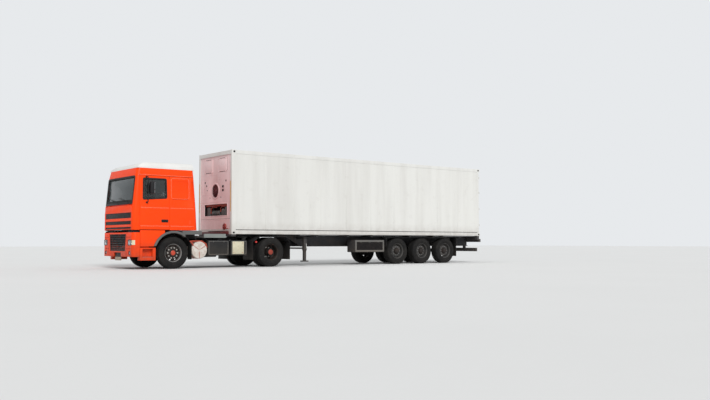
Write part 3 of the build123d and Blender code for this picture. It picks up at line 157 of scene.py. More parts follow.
class Form:
    """A mesh put together from shapes and then finished as one piece.

    Its points are given from the place at. With side -1 it is mirrored, so that +Y is outwards on both sides.
    """

    def __init__(self, at=(0, 0, 0), side=1):
        self.bm = bmesh.new()
        self.at = at
        self.side = side

    def put(self, point):
        """The truck's own place of a point of the form."""
        x, y, z = self.at
        return Vector((x + point[0], y + self.side * point[1], z + point[2]))

    def soften(self, edges, width, steps=2):
        if width:
            bmesh.ops.bevel(
                self.bm, geom=list(edges), offset=width, segments=steps, profile=0.5, affect="EDGES",
                clamp_overlap=True,
            )
        return self

    def skin(self, rings, closed=False):
        """Faces from each ring of points to the next. The last meets the first, or both ends are closed."""
        rings = [[self.bm.verts.new(point) for point in ring] for ring in rings]
        faces = []
        for one, two in zip(rings, rings[1:] + rings[:1] if closed else rings[1:]):
            for n in range(len(one)):
                faces.append(self.bm.faces.new((one[n - 1], one[n], two[n], two[n - 1])))
        if not closed:
            faces.append(self.bm.faces.new(rings[0][::-1]))
            faces.append(self.bm.faces.new(rings[-1]))
        return faces

    def block(self, x, y, z, soft=0.004, steps=2):
        """A box between pairs of places, with soft edges."""
        size = [pair[1] - pair[0] for pair in (x, y, z)]
        centre = self.put([sum(pair) / 2 for pair in (x, y, z)])
        matrix = Matrix.Translation(centre) @ Matrix.Diagonal((*size, 1.0))
        made = bmesh.ops.create_cube(self.bm, size=1.0, matrix=matrix)
        edges = dict.fromkeys(edge for vert in made["verts"] for edge in vert.link_edges)
        return self.soften(edges, min(soft, min(size) * 0.45), steps)

    def blocks(self, rows, soft=0.004):
        """A box for each row of (x, y, z)."""
        for row in rows:
            self.block(*row, soft)
        return self

    def plate(self, outline, place, near, far, soft=0.0, steps=2):
        """A closed prism on an outline, from near to far outwards."""
        faces = self.skin([[self.put(place(u, v, d)) for u, v in outline] for d in (near, far)])
        return self.soften(faces[-1].edges, soft, steps)

    def panel(self, u, v, place, near, far, soft=0.0, corner=0.0, steps=2):
        """A plate on a rectangle, with round corners where they have a radius."""
        outline = rectangle(u, v)
        if corner:
            outline = rounded(outline, corner)
        return self.plate(outline, place, near, far, soft, steps)

    def band(self, outer, inner, place, near, far, soft=0.0):
        """A frame between two outlines with as many points, from near to far outwards."""
        rows = ((outer, near), (outer, far), (inner, far), (inner, near))
        rings = [[self.put(place(u, v, d)) for u, v in outline] for outline, d in rows]
        front = set(self.skin(rings, closed=True)[len(outer):2 * len(outer)])
        edges = dict.fromkeys(edge for face in front for edge in face.edges)
        return self.soften([edge for edge in edges if not front.issuperset(edge.link_faces)], soft)

    def border(self, points, outside, inside, radius, place, near, far, soft):
        """A band along an outline, from outside it to inside it, with round corners."""
        outer = rounded(drawn_in(points, -outside), radius + outside)
        inner = rounded(drawn_in(points, inside), max(0.005, radius - inside))
        return self.band(outer, inner, place, near, far, soft)

    def turned(self, profile, centre=(0, 0, 0), axis="Y", count=48, dip=None):
        """A closed profile of (radius, distance along the axis) turned about the axis through centre."""
        rings = []
        for index in range(count):
            angle = 2 * pi * index / count
            ring = []
            for radius, along in profile:
                if dip:
                    radius = dip(radius, along, index)
                a = radius * cos(angle)
                b = radius * sin(angle)
                turns = {"X": (along, a, b), "-X": (-along, a, b), "Y": (a, along, b), "Z": (a, b, along)}
                ring.append(self.put([place + shift for place, shift in zip(centre, turns[axis])]))
            rings.append(ring)
        verts = dict.fromkeys(vert for face in self.skin(rings, closed=True) for vert in face.verts)
        bmesh.ops.remove_doubles(self.bm, verts=list(verts), dist=1e-6)
        return self

    def rod(self, start, end, radius, count=16):
        """A round bar with eased ends."""
        foot = self.put(start)
        way = self.put(end) - foot
        turn = way.to_track_quat("Z", "Y")
        ease = 0.2 * min(radius, way.length)
        rows = ((0, -ease), (ease, 0), (way.length - ease, 0), (way.length, -ease))
        self.skin([[foot + turn @ Vector((a, b, along)) for a, b in circle(count, radius + change)]
                   for along, change in rows])
        return self

    def path(self, points, radius, count=10):
        """A bent bar through points, its corners mitred."""
        places = [self.put(point) for point in points]
        ways = [(end - start).normalized() for start, end in zip(places, places[1:])]
        across = ways[0].orthogonal().normalized()
        rings = []
        for place, before, after in zip(places, ways[:1] + ways, ways + ways[-1:]):
            along = (before + after).normalized()
            across = (across - along * across.dot(along)).normalized()
            other = along.cross(across)
            mitred = radius / max(0.5, along.dot(before))
            rings.append([place + across * a + other * b for a, b in circle(count, mitred)])
        self.skin(rings)
        return self

    def doubled(self):
        """Adds the mirror image of all that is there, on the truck's other side."""
        every = [*self.bm.verts, *self.bm.edges, *self.bm.faces]
        made = bmesh.ops.duplicate(self.bm, geom=every)["geom"]
        verts = [item for item in made if isinstance(item, bmesh.types.BMVert)]
        bmesh.ops.scale(self.bm, vec=(1, -1, 1), verts=verts)
        return self

    def finish(self, name, look, body, slot=None, sharp=35, replaces=()):
        """Makes the piece with its look, on its body. The slot is not used."""
        bmesh.ops.recalc_face_normals(self.bm, faces=self.bm.faces)
        mesh = bpy.data.meshes.new(name)
        self.bm.to_mesh(mesh)
        self.bm.free()
        mesh.materials.append(looks[look])
        for polygon in mesh.polygons:
            polygon.use_smooth = True
        mesh.set_sharp_from_angle(angle=radians(sharp))
        obj = bpy.data.objects.new(name, mesh)
        scene.collection.objects.link(obj)
        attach(obj, body)
        if replaces:
            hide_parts(*replaces)
        return obj


def add_node(tree, kind, inputs, **settings):
    """Adds a node and gives its outputs. Each input is a value, or a socket that is linked to it."""
    made = tree.nodes.new(kind)
    for name, value in settings.items():
        setattr(made, name, value)
    for name, value in inputs.items():
        if isinstance(value, bpy.types.NodeSocket):
            tree.links.new(value, made.inputs[name])
        else:
            made.inputs[name].default_value = value
    return made.outputs


# Materials by name. Each is worked out from noise in the object's own metres
looks = {}
tint_range = (0.42, 0.66)
spot_range = (0.58, 0.72)
even_range = (0.3, 0.7)


def surface(
    name, colour, rough=0.5, metal=0.0, tint=None, tint_scale=1.2, stretch=(1, 1, 1), share=0.6,
    spots=None, spot_scale=9.0, spot_share=0.5, grime=None, grime_z=(1.0, 0.2), bump=0.15, bump_scale=90.0,
    coat=0.0, transmission=0.0, specular=0.5,
):
    """A surface with a broad tint, smaller spots, grime that thickens downwards and a fine bump."""
    material = bpy.data.materials.new(name)
    material.use_nodes = True
    tree = material.node_tree
    shader = tree.nodes["Principled BSDF"].inputs
    where = add_node(tree, "ShaderNodeTexCoord", {})["Object"]

    def noise(scale, detail, stretched=(1, 1, 1)):
        place = add_node(tree, "ShaderNodeMapping", {"Vector": where, "Scale": stretched})[0]
        grain = {"Vector": place, "Scale": scale, "Detail": detail, "Roughness": 0.6}
        return add_node(tree, "ShaderNodeTexNoise", grain)["Fac"]

    def spread(value, source, target):
        """Maps the source range of a value onto the target range."""
        names = ("Value", "From Min", "From Max", "To Min", "To Max")
        return add_node(tree, "ShaderNodeMapRange", dict(zip(names, (value, *source, *target))))["Result"]

    def blended(first, second, fraction):
        pair = [(*value, 1.0) if isinstance(value, tuple) else value for value in (first, second)]
        return add_node(tree, "ShaderNodeMix", {0: fraction, 6: pair[0], 7: pair[1]}, data_type="RGBA")[2]

    tint = tint or tuple(channel * 0.78 for channel in colour)
    result = blended(colour, tint, spread(noise(tint_scale, 6, stretch), tint_range, (0.0, share)))
    if spots:
        result = blended(result, spots, spread(noise(spot_scale, 8), spot_range, (0.0, spot_share)))
    if grime:
        height = add_node(tree, "ShaderNodeSeparateXYZ", {"Vector": where})["Z"]
        lowness = spread(height, grime_z, (0.0, 1.0))
        patches = spread(noise(5.0, 8), even_range, (0.25, 1.0))
        dirt = add_node(tree, "ShaderNodeMath", {0: lowness, 1: patches}, operation="MULTIPLY")[0]
        result = blended(result, grime, dirt)
    roughness = spread(noise(14.0, 5), even_range, (max(0.02, rough - 0.1), min(1.0, rough + 0.12)))
    relief = {"Strength": bump, "Distance": 0.002, "Height": noise(bump_scale, 4)}
    normal = add_node(tree, "ShaderNodeBump", relief)[0]
    for socket, value in (("Base Color", result), ("Roughness", roughness), ("Normal", normal)):
        tree.links.new(value, shader[socket])
    for socket, value in (
        ("Metallic", metal), ("Coat Weight", coat), ("Specular IOR Level", specular),
        ("Transmission Weight", transmission),
    ):
        shader[socket].default_value = value
    looks[name] = material


dust = (0.20, 0.15, 0.11)
soot = (0.035, 0.03, 0.028)
rust = (0.16, 0.055, 0.02)

# Paints and trim of the cab
surface(
    "cab_paint", (0.93, 0.058, 0.003), 0.40, tint=(0.80, 0.048, 0.003), share=0.4, coat=0.02, specular=0.14,
    spots=(0.45, 0.045, 0.012), spot_share=0.2, grime=(0.30, 0.06, 0.03), grime_z=(1.1, 0.2), bump=0.05,
)
surface(
    "roof_paint", (0.70, 0.695, 0.67), 0.45, tint=(0.60, 0.59, 0.57), spots=(0.5, 0.48, 0.45),
    spot_share=0.25, coat=0.1, bump=0.05,
)
surface(
    "dark_trim", (0.013, 0.013, 0.014), 0.5, tint=(0.030, 0.028, 0.026), share=0.5, specular=0.22,
    grime=(0.050, 0.042, 0.034), grime_z=(0.9, 0.1), bump=0.3,
)
surface(
    "grey_trim", (0.085, 0.086, 0.086), 0.55, tint=(0.12, 0.118, 0.11), grime=(0.13, 0.105, 0.08),
    grime_z=(1.2, 0.3), bump=0.3,
)
# Lighter, glossier orange: painted highlight along the cab's ridges, rain channel and panel edges
surface("highlight_orange", (0.93, 0.10, 0.02), 0.22, tint=(0.86, 0.08, 0.012), specular=0.7, coat=0.6, bump=0.03)
# Dark red: painted shade under the rain channel and the pressed panel, and the dark seam behind the door
surface("shade_and_seam_red", (0.30, 0.018, 0.002), 0.6, tint=(0.20, 0.014, 0.002), specular=0.1, bump=0.05)
surface("plate_blank", (0.34, 0.27, 0.19), 0.5, tint=(0.26, 0.20, 0.14), tint_scale=7, bump=0.1)
surface(
    "seat_cloth", (0.06, 0.062, 0.075), 0.85, tint=(0.09, 0.09, 0.105), tint_scale=8, bump=0.6,
    bump_scale=420.0,
)

# Chassis and wheels
surface(
    "chassis_paint", (0.10, 0.026, 0.018), 0.6, tint=(0.055, 0.03, 0.024), spots=soot,
    grime=(0.12, 0.085, 0.06), grime_z=(0.9, 0.3), bump=0.3,
)
surface("engine", (0.13, 0.13, 0.125), 0.6, metal=0.3, spots=soot, grime=dust, bump=0.4)
surface(
    "tank", (0.55, 0.56, 0.57), 0.34, metal=0.85, tint=(0.42, 0.42, 0.41), stretch=(1, 1, 4),
    grime=(0.2, 0.17, 0.14), grime_z=(0.9, 0.2), bump=0.1,
)
surface(
    "silencer", (0.62, 0.58, 0.53), 0.5, metal=0.15, tint=(0.42, 0.33, 0.27), tint_scale=6, share=0.7,
    spots=rust, spot_share=0.6, bump=0.2,
)
surface(
    "cover", (0.56, 0.52, 0.38), 0.55, tint=(0.44, 0.41, 0.29), spots=rust, spot_scale=24.0, spot_share=0.8,
    bump=0.15,
)
surface("walkway", (0.22, 0.24, 0.225), 0.5, metal=0.3, tint=(0.15, 0.16, 0.15), bump=0.4)
# Near black rubber, its base and spots darkened further as painted shade of the lower wheels
surface(
    "tyre", (0.010, 0.0096, 0.0094), 0.85, tint=(0.022, 0.020, 0.018), tint_scale=3,
    spots=(0.055, 0.046, 0.038), spot_share=0.3, specular=0.2, bump=0.35,
)
surface(
    "rim", (0.022, 0.020, 0.019), 0.6, metal=0.2, tint=(0.045, 0.03, 0.022), tint_scale=6, spots=rust,
    spot_share=0.45, specular=0.25, bump=0.3,
)
# Trailer rims: dark grey, darkened beyond rim_grey as painted shade under the trailer
surface(
    "rim_dull", (0.050, 0.049, 0.048), 0.6, metal=0.2, tint=(0.085, 0.075, 0.066), tint_scale=6,
    specular=0.25, bump=0.2,
)
surface(
    "rim_grey", (0.19, 0.185, 0.18), 0.5, metal=0.3, tint=(0.12, 0.10, 0.09), tint_scale=5, spots=rust,
    bump=0.25,
)
surface("bright_steel", (0.62, 0.61, 0.58), 0.35, metal=0.8, tint=(0.42, 0.38, 0.33), tint_scale=20, bump=0.1)
surface(
    "rubber", (0.012, 0.012, 0.012), 0.65, tint=(0.035, 0.033, 0.03), tint_scale=6, specular=0.25, bump=0.2,
)
surface("hub_red", (0.55, 0.055, 0.02), 0.45, tint=(0.30, 0.04, 0.02), tint_scale=9, spots=soot, bump=0.2)
# Drive hub caps: a darker copy of hub_red, sooty, and darkened as painted shade
surface(
    "hub_worn", (0.26, 0.030, 0.014), 0.55, tint=(0.14, 0.03, 0.018), tint_scale=9, spots=soot,
    spot_share=0.6, bump=0.2,
)
surface(
    "rusty_red", (0.42, 0.055, 0.025), 0.6, tint=(0.22, 0.05, 0.03), tint_scale=12, spots=rust,
    spot_share=0.6, bump=0.4,
)

# Glass and lamps
surface("glass", (0.20, 0.24, 0.25), 0.10, tint=(0.15, 0.18, 0.19), transmission=0.82, bump=0.01)
surface("side_glass", (0.10, 0.12, 0.12), 0.08, tint=(0.07, 0.085, 0.085), transmission=0.8, bump=0.01)
surface("mirror_glass", (0.70, 0.72, 0.74), 0.06, metal=1.0, tint=(0.60, 0.62, 0.64), bump=0.01)
surface("clear_cover", (0.92, 0.93, 0.94), 0.04, tint=(0.86, 0.87, 0.88), transmission=0.95, bump=0.01)
surface(
    "corner_glass", (0.62, 0.56, 0.36), 0.12, tint=(0.75, 0.72, 0.60), tint_scale=30, stretch=(1, 1, 0.2),
    coat=0.5,
)
surface("lamp", (0.80, 0.82, 0.84), 0.12, tint=(0.68, 0.68, 0.66), coat=0.8, bump=0.04)
surface("tail_lamp", (0.55, 0.02, 0.012), 0.15, tint=(0.40, 0.015, 0.01), coat=0.8, bump=0.04)
surface("amber", (0.80, 0.28, 0.03), 0.2, tint=(0.62, 0.20, 0.02), coat=0.7, bump=0.04)

# Trailer, container and its unit
surface(
    "trailer_paint", (0.035, 0.036, 0.04), 0.6, tint=(0.07, 0.055, 0.045), spots=rust, spot_share=0.3,
    grime=(0.055, 0.046, 0.038), grime_z=(0.9, 0.3), specular=0.25, bump=0.3,
)
# The container's tint, stretched into upright bands, is painted light and shade of its faintly dented panels
surface(
    "container_paint", (0.66, 0.655, 0.625), 0.5, tint=(0.58, 0.57, 0.54), tint_scale=0.9,
    stretch=(2.2, 1, 0.18), share=0.75, spots=(0.46, 0.43, 0.40), spot_scale=3.5, spot_share=0.22,
    grime=(0.42, 0.39, 0.36), grime_z=(1.6, 1.05), bump=0.12,
)
surface(
    "unit_paint", (0.80, 0.60, 0.60), 0.5, tint=(0.68, 0.45, 0.44), stretch=(1, 2, 0.4),
    spots=(0.42, 0.34, 0.33), spot_share=0.3, bump=0.12,
)
surface("fan_red", (0.13, 0.020, 0.022), 0.6, tint=(0.07, 0.014, 0.016), tint_scale=14, bump=0.2)
surface(
    "coupling_red", (0.30, 0.030, 0.022), 0.55, tint=(0.14, 0.02, 0.02), tint_scale=16, spots=rust, bump=0.3,
)
surface("stripe_yellow", (0.66, 0.36, 0.06), 0.5, tint=(0.50, 0.28, 0.07), tint_scale=6, bump=0.1)
# Near black: painted shade in holes, openings and the unit's bay, and also used for the bumper seams and the
# tool box door
surface(
    "dark_hole", (0.010, 0.009, 0.009), 0.9, tint=(0.022, 0.017, 0.016), tint_scale=9, specular=0.15,
    bump=0.2,
)
surface("floor", (0.72, 0.72, 0.71), 0.9, tint=(0.70, 0.70, 0.69), tint_scale=0.2, bump=0.0)


# CAD nodes that stay keep their meshes. Modifiers join their facets, ease edges and smooth the shallow ones
eased_edge = 0.004
plain_limit = 32
rod_limit = 50
# Nodes with many plain rods, whose flats are smoothed up to the wider limit
rod_like = {
    "silencer", "drive_axle", "front_axle", "trailer_axles", "tie_rod", "container_door_left",
    "container_door_right", "mirror_left", "mirror_right", "unit_machinery",
}


def node_group(name, build):
    """A geometry node group whose nodes are added by build."""
    tree = bpy.data.node_groups.new(name, "GeometryNodeTree")
    for way in ("INPUT", "OUTPUT"):
        tree.interface.new_socket("Geometry", in_out=way, socket_type="NodeSocketGeometry")
    start = tree.nodes.new("NodeGroupInput")
    end = tree.nodes.new("NodeGroupOutput")
    tree.links.new(build(tree, start.outputs[0]), end.inputs[0])
    return tree


def joined_facets(tree, geometry):
    plain = {"Geometry": geometry, "Name": "custom_normal"}
    bare = add_node(tree, "GeometryNodeRemoveAttribute", plain)["Geometry"]
    return add_node(tree, "GeometryNodeMergeByDistance", {"Geometry": bare, "Distance": 0.00002})["Geometry"]


def smooth_below(limit):
    def build(tree, geometry):
        angle = add_node(tree, "GeometryNodeInputMeshEdgeAngle", {})["Unsigned Angle"]
        shallow = add_node(tree, "FunctionNodeCompare", {0: angle, 1: radians(limit)}, operation="LESS_THAN")
        faces = add_node(tree, "GeometryNodeSetShadeSmooth", {"Geometry": geometry}, domain="FACE")
        smooth = {"Geometry": faces["Geometry"], "Shade Smooth": shallow["Result"]}
        return add_node(tree, "GeometryNodeSetShadeSmooth", smooth, domain="EDGE")["Geometry"]
    return build


join_group = node_group("joined_facets", joined_facets)
smooth_groups = {
    limit: node_group(f"smooth_below_{limit}", smooth_below(limit)) for limit in (plain_limit, rod_limit)
}
for name, obj in nodes.items():
    limit = rod_limit if name in rod_like else plain_limit
    obj.data.materials[0] = looks[obj.data.materials[0].name.split(".")[0]]
    obj.modifiers.new("join", "NODES").node_group = join_group
    bevel = obj.modifiers.new("ease", "BEVEL")
    bevel.width = eased_edge
    bevel.segments = 2
    bevel.limit_method = "ANGLE"
    bevel.angle_limit = radians(limit)
    obj.modifiers.new("smooth", "NODES").node_group = smooth_groups[limit]
for side, hand in sides:
    nodes[f"door_glass_{hand}"].data.materials[0] = looks["side_glass"]


# Wheels. Distances along an axle run outwards from the truck's middle plane
tractor_rim_half = 0.115
trailer_rim_half = 0.149
hole_ring = 0.229
nut_ring = 0.1675
# Inner and outer ends of the hubs
drive_hub = (0.64, 1.19)
trailer_hub = (0.885, 1.19)
# Places of the tread's grooves as shares of the tyre's half width, and a groove as (shift, depth)
tread_grooves = (-0.56, -0.2, 0.2, 0.56)
groove = ((-0.006, 0), (-0.0036, 0.014), (0.0036, 0.014), (0.006, 0))
# A tyre's wall from its bead to its shoulder, as (radius, share of the tyre's half width)
tyre_wall = (
    (0.290, 0.70), (0.300, 0.78), (0.318, 0.87), (0.345, 0.945), (0.372, 0.985), (0.378, 0.999),
    (0.392, 1.0), (0.398, 0.988), (0.430, 0.985), (0.455, 0.955), (0.478, 0.905), (0.496, 0.855),
    (0.507, 0.80), (0.513, 0.72),
)


def make_tyre(name, centre, half, body, replaces=()):
    """A tyre with grooves round it and notches along its shoulders."""
    def dip(radius, along, index):
        notched = index % 3 == 0 and radius > 0.49 and abs(along) > 0.62 * half
        return radius - 0.009 if notched else radius

    left = [(radius, -share * half) for radius, share in tyre_wall]
    tread = [(wheel_radius - drop, share * half + shift) for share in tread_grooves for shift, drop in groove]
    right = [(radius, share * half) for radius, share in reversed(tyre_wall)]
    inner = [(0.278, 0.55 * half), (0.278, -0.55 * half)]
    form = Form(centre).turned(left + tread + right + inner, count=144, dip=dip)
    form.finish(name, "tyre", body, sharp=40, replaces=replaces)


def barrel_profile(near, far):
    """A rim's barrel with its flanges, from its inner end near to its outer end far."""
    return [
        (0.300, far), (0.302, far - 0.006), (0.286, far - 0.014), (0.283, far - 0.04), (0.272, far - 0.06),
        (0.272, near + 0.06), (0.283, near + 0.04), (0.286, near + 0.014), (0.302, near + 0.006),
        (0.300, near), (0.290, near + 0.004), (0.272, near + 0.018), (0.262, near + 0.06),
        (0.262, far - 0.06), (0.270, far - 0.03), (0.276, far - 0.014), (0.290, far - 0.002),
    ]


def cut_holes(form, count, ring, radius, near, far):
    """Cuts a ring of round holes through a form, from near to far along its axle."""
    cutters = Form(form.at, form.side)
    for a, b in circle(count, ring, pi / count):
        cutters.turned(rectangle((0, radius), (near, far)), (a, 0, b), count=20)
    pair = []
    for part in (form, cutters):
        bmesh.ops.recalc_face_normals(part.bm, faces=part.bm.faces)
        mesh = bpy.data.meshes.new("cut")
        part.bm.to_mesh(mesh)
        part.bm.clear()
        pair.append(bpy.data.objects.new("cut", mesh))
        scene.collection.objects.link(pair[-1])
    modifier = pair[0].modifiers.new("cut", "BOOLEAN")
    modifier.object = pair[1]
    modifier.operation = "DIFFERENCE"
    modifier.solver = "EXACT"
    graph = bpy.context.evaluated_depsgraph_get()
    form.bm.from_mesh(bpy.data.meshes.new_from_object(pair[0].evaluated_get(graph)))
    for obj in pair:
        bpy.data.objects.remove(obj)


def make_rim(name, centre, side, barrel, disc_y, face_out, look, body, replaces=(), disc_look=None):
    """A steel rim: a dished disc with hand holes, then its barrel."""
    at = (centre.x, 0, centre.z)
    dish = 0.010 if face_out else -0.010
    rim_edge = disc_y - 3.2 * dish
    front = [
        (0.268, rim_edge), (0.252, rim_edge + dish * 0.4), (0.226, disc_y - dish), (0.205, disc_y),
        (0.118, disc_y),
    ]
    back = [(radius, along - 0.012) for radius, along in reversed(front)]
    disc = Form(at, side).turned(front + back, count=64)
    cut_holes(disc, 8, hole_ring, 0.026, disc_y - 0.1, disc_y + 0.1)
    disc.finish(f"{name}_disc", disc_look or look, body, "rim", replaces=replaces)
    Form(at, side).turned(barrel_profile(*barrel), count=64).finish(name, look, body, "rim")


def hub_parts(
    name, centre, side, disc_y, hub_in, hub_out, cap_look, body, cap_radius, nut_look="bright_steel"
):
    """Wheel nuts with washers and stud ends on the disc, then the hub, and its cap with small screws."""
    at = (centre.x, 0, centre.z)
    nuts = Form(at, side)
    for a, b in circle(10, nut_ring):
        spot = (a, disc_y, b)
        nuts.turned(rectangle((0, 0.02295), (0, 0.004)), spot, count=14)
        nuts.turned([(0, 0), (0.017, 0), (0.017, 0.0221), (0.01394, 0.026), (0, 0.026)], spot, count=6)
        nuts.turned(rectangle((0, 0.009), (0, 0.036)), spot, count=10)
    nuts.finish(f"{name}_nuts", nut_look, body, "rim")
    hub = [
        (0, hub_in), (0.13, hub_in), (0.13, disc_y + 0.006), (0.117, disc_y + 0.012),
        (0.112, hub_out - 0.035), (0.104, hub_out - 0.022), (0, hub_out - 0.022),
    ]
    Form(at, side).turned(hub).finish(f"{name}_hub", "rim", body)
    cap = Form(at, side)
    lip = cap_radius + 0.012
    cap.turned([
        (0, hub_out - 0.03), (lip, hub_out - 0.024), (lip, hub_out - 0.014), (cap_radius, hub_out - 0.01),
        (cap_radius * 0.9, hub_out - 0.003), (cap_radius * 0.55, hub_out - 0.001),
        (cap_radius * 0.5, hub_out), (0, hub_out),
    ], count=40)
    for a, b in circle(8, cap_radius + 0.002, pi / 8):
        cap.turned(rectangle((0, 0.006), (0, 0.006)), (a, hub_out - 0.014, b), count=6)
    cap.finish(f"{name}_cap", cap_look, body, "rim")


for side, hand in sides:
    low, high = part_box(f"front_tyre_{hand}")
    centre = (low + high) / 2
    tyre_half = (high.y - low.y) / 2
    reach = abs(centre.y)
    disc_y = reach + 0.068
    body = f"front_wheel_{hand}"
    make_tyre(f"tyre_front_{hand}", centre, tyre_half, body, (f"front_tyre_{hand}",))
    make_rim(
        f"rim_front_{hand}", centre, side, about(reach, tractor_rim_half), disc_y, True, "rim_grey", body,
        (f"front_rim_{hand}",), "rim",
    )
    hub_in, hub_out = sorted(abs(place.y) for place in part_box(f"front_rim_{hand}"))
    hub_parts(f"front_{hand}", centre, side, disc_y, hub_in, hub_out - 0.004, "hub_red", body, 0.066)

    # Twin drive wheels, with tyres as wide as the front ones
    low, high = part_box(f"drive_tyres_{hand}")
    centre = (low + high) / 2
    body = f"drive_wheel_{hand}"
    outer_y = max(abs(low.y), abs(high.y)) - tyre_half
    inner_y = min(abs(low.y), abs(high.y)) + tyre_half
    mid = (outer_y + inner_y) / 2
    disc_y = mid + 0.016
    for label, reach in (("outer", outer_y), ("inner", inner_y)):
        replaced = (f"drive_tyres_{hand}",) if label == "outer" else ()
        make_tyre(f"tyre_drive_{hand}_{label}", (centre.x, side * reach, centre.z), tyre_half, body, replaced)
    outer = (mid + 0.03, outer_y + tractor_rim_half)
    inner = (inner_y - tractor_rim_half, mid - 0.03)
    name = f"rim_drive_{hand}"
    make_rim(f"{name}_outer", centre, side, outer, disc_y, False, "rim", body, (f"drive_rims_{hand}",))
    make_rim(f"{name}_inner", centre, side, inner, mid - 0.004, True, "rim", body)
    hub_parts(f"drive_{hand}", centre, side, disc_y, *drive_hub, "hub_worn", body, 0.08)

    for number in (1, 2, 3):
        node = f"trailer_wheel_{hand}_{number}"
        low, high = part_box(node)
        centre = (low + high) / 2
        reach = abs(centre.y)
        disc_y = reach + 0.066
        make_tyre(f"tyre_{node}", centre, (high.y - low.y) / 2, node, (node,))
        make_rim(f"rim_{node}", centre, side, about(reach, trailer_rim_half), disc_y, True, "rim_dull", node)
        hub_parts(f"hub_{node}", centre, side, disc_y, *trailer_hub, "rim", node, 0.07, "rim_grey")


# Windscreen rubber, cowl, the screen's dark lower edge, and wipers
at_nose = (nose, 0, 0)
screen = rectangle((-1.105, 1.105), (2.095, 2.95))
form = Form(at_nose).border(screen, 0.022, 0.042, 0.07, on_front, -0.012, 0.008, 0.003)
form.finish("windscreen_rubber", "rubber", "cab", "dark_trim")
form = Form(at_nose).panel((-1.12, 1.12), (2.064, 2.135), on_front, -0.01, 0.012, 0.004, 0.02)
form.finish("cowl", "dark_trim", "cab")
form = Form(at_nose).panel((-1.07, 1.07), (2.130, 2.205), on_front, -0.006, 0.001, 0.0005, 0.03)
form.finish("screen_edge", "rubber", "cab", "dark_trim")
for number, (foot_y, tip_y) in enumerate(((-0.86, -0.30), (0.02, 0.56)), 1):
    elbow_y = (foot_y + tip_y) / 2
    wiper = Form(at_nose)
    wiper.rod(on_front(foot_y, 2.10, 0.008), on_front(foot_y, 2.10, 0.028), 0.020, 20)
    arm = ((foot_y, 2.10, 0.022), (elbow_y, 2.185, 0.020), (tip_y, 2.23, 0.004))
    wiper.path([on_front(*point) for point in arm], 0.008)
    for height, radius in ((0.0, 0.009), (-0.008, 0.005)):
        blade = [on_front(tip_y - 0.38, 2.165, height), on_front(tip_y + 0.36, 2.29, height)]
        wiper.path(blade, radius, 6)
    wiper.finish(f"wiper_{number}", "rubber", "cab", "dark_trim")

# The cab's sides: rain channel, feature lines and seams with painted highlight and painted shade, window
# rubber, door handle and mirror
ridge_half = 0.014
ridges = [about(level, ridge_half) for level in (1.955, 1.375)]
window = [(0.330, 2.215), (1.140, 2.270), (1.125, 2.895), (0.345, 2.895)]
grip_x = (0.955, 1.185)
lock_x = 1.16
mirror_x = 0.45
mirror_y = 1.345
arm_levels = (2.12, 2.935)
for side, hand in sides:
    door = f"door_{hand}"
    # The rain channel, panel border, ridges and upright line in lighter orange: painted highlight
    trim = Form(at_nose, side)
    trim.panel((0.19, 2.06), (2.992, 3.014), on_side, -0.004, 0.012, 0.004, 0.008)
    trim.border(rectangle((1.30, 1.90), (2.27, 2.92)), 0.018, 0.004, 0.07, on_side, -0.004, 0.008, 0.003)
    for ridge in ridges:
        trim.panel((1.26, 2.08), ridge, on_side, -0.003, 0.008, 0.005)
    trim.panel((1.945, 1.959), (1.34, 2.96), on_side, -0.004, 0.007, 0.003)
    trim.finish(f"side_lines_{hand}", "highlight_orange", "cab", "cab_paint")
    # Dark red lines: painted shade under the rain channel and under the pressed panel, and the seam behind
    # the door
    shadow = Form(at_nose, side)
    shadow.panel((0.19, 2.04), (2.978, 2.991), on_side, -0.004, 0.002, 0.0005)
    for x, z in (((1.222, 1.234), (1.262, 2.97)), ((1.32, 1.88), (2.246, 2.256))):
        shadow.panel(x, z, on_side, -0.004, 0.001, 0.0005)
    shadow.finish(f"side_shadow_{hand}", "shade_and_seam_red", "cab", "cab_paint")
    # The door's ridges in lighter orange: painted highlight
    lines = Form(at_nose, side)
    for ridge in ridges:
        lines.panel((0.251, 1.209), ridge, on_side, -0.003, 0.008, 0.005)
    lines.finish(f"door_lines_{hand}", "highlight_orange", door, "cab_paint")
    form = Form(at_nose, side).border(window, 0.014, 0.030, 0.05, on_side, -0.012, 0.006, 0.002)
    form.finish(f"window_rubber_{hand}", "rubber", door, "dark_trim")
    handle = Form(at_nose, side)
    handle.panel(grip_x, (1.495, 1.585), on_side, -0.004, 0.005, 0.003, 0.02)
    handle.panel((grip_x[0] + 0.015, grip_x[1] - 0.05), (1.545, 1.573), on_side, 0.004, 0.026, 0.006, 0.012)
    handle.rod(on_side(lock_x, 1.54, 0.003), on_side(lock_x, 1.54, 0.010), 0.013, 20)
    handle.finish(f"door_handle_{hand}", "dark_trim", door)

    # The mirror's rounded head on a bent arm with two feet, then its two glasses
    mirror = Form(at_nose, side)
    mirror.block((0.502, 0.632), (1.302, 1.448), (2.392, 2.778), 0.034, 4)
    feet = [at_level(cab_side, level) - 0.004 for level in arm_levels]
    low, high = arm_levels
    arm = [
        (feet[0], low), (mirror_y - 0.03, low), (mirror_y, low + 0.03), (mirror_y, high - 0.03),
        (mirror_y - 0.03, high), (feet[1], high),
    ]
    mirror.path([(mirror_x, y, z) for y, z in arm], 0.013, 12)
    for foot, level in zip(feet, arm_levels):
        mirror.rod((mirror_x, foot - 0.002, level), (mirror_x, foot + 0.022, level), 0.030, 20)
    for level in (2.48, 2.69):
        mirror.rod((mirror_x, mirror_y, level), (0.53, mirror_y, level), 0.010, 12)
        mirror.block(about(mirror_x, 0.018), about(mirror_y, 0.018), about(level, 0.022), 0.005)
    mirror.finish(f"mirror_head_{hand}", "dark_trim", door, replaces=(f"mirror_{hand}",))
    glasses = Form(at_nose, side)
    for z in ((2.53, 2.755), (2.415, 2.51)):
        glasses.panel((1.32, 1.43), z, facing_x(0.632, 1), -0.002, 0.004, 0.001, 0.02)
    glasses.finish(f"mirror_glass_{hand}", "mirror_glass", door, "glass")

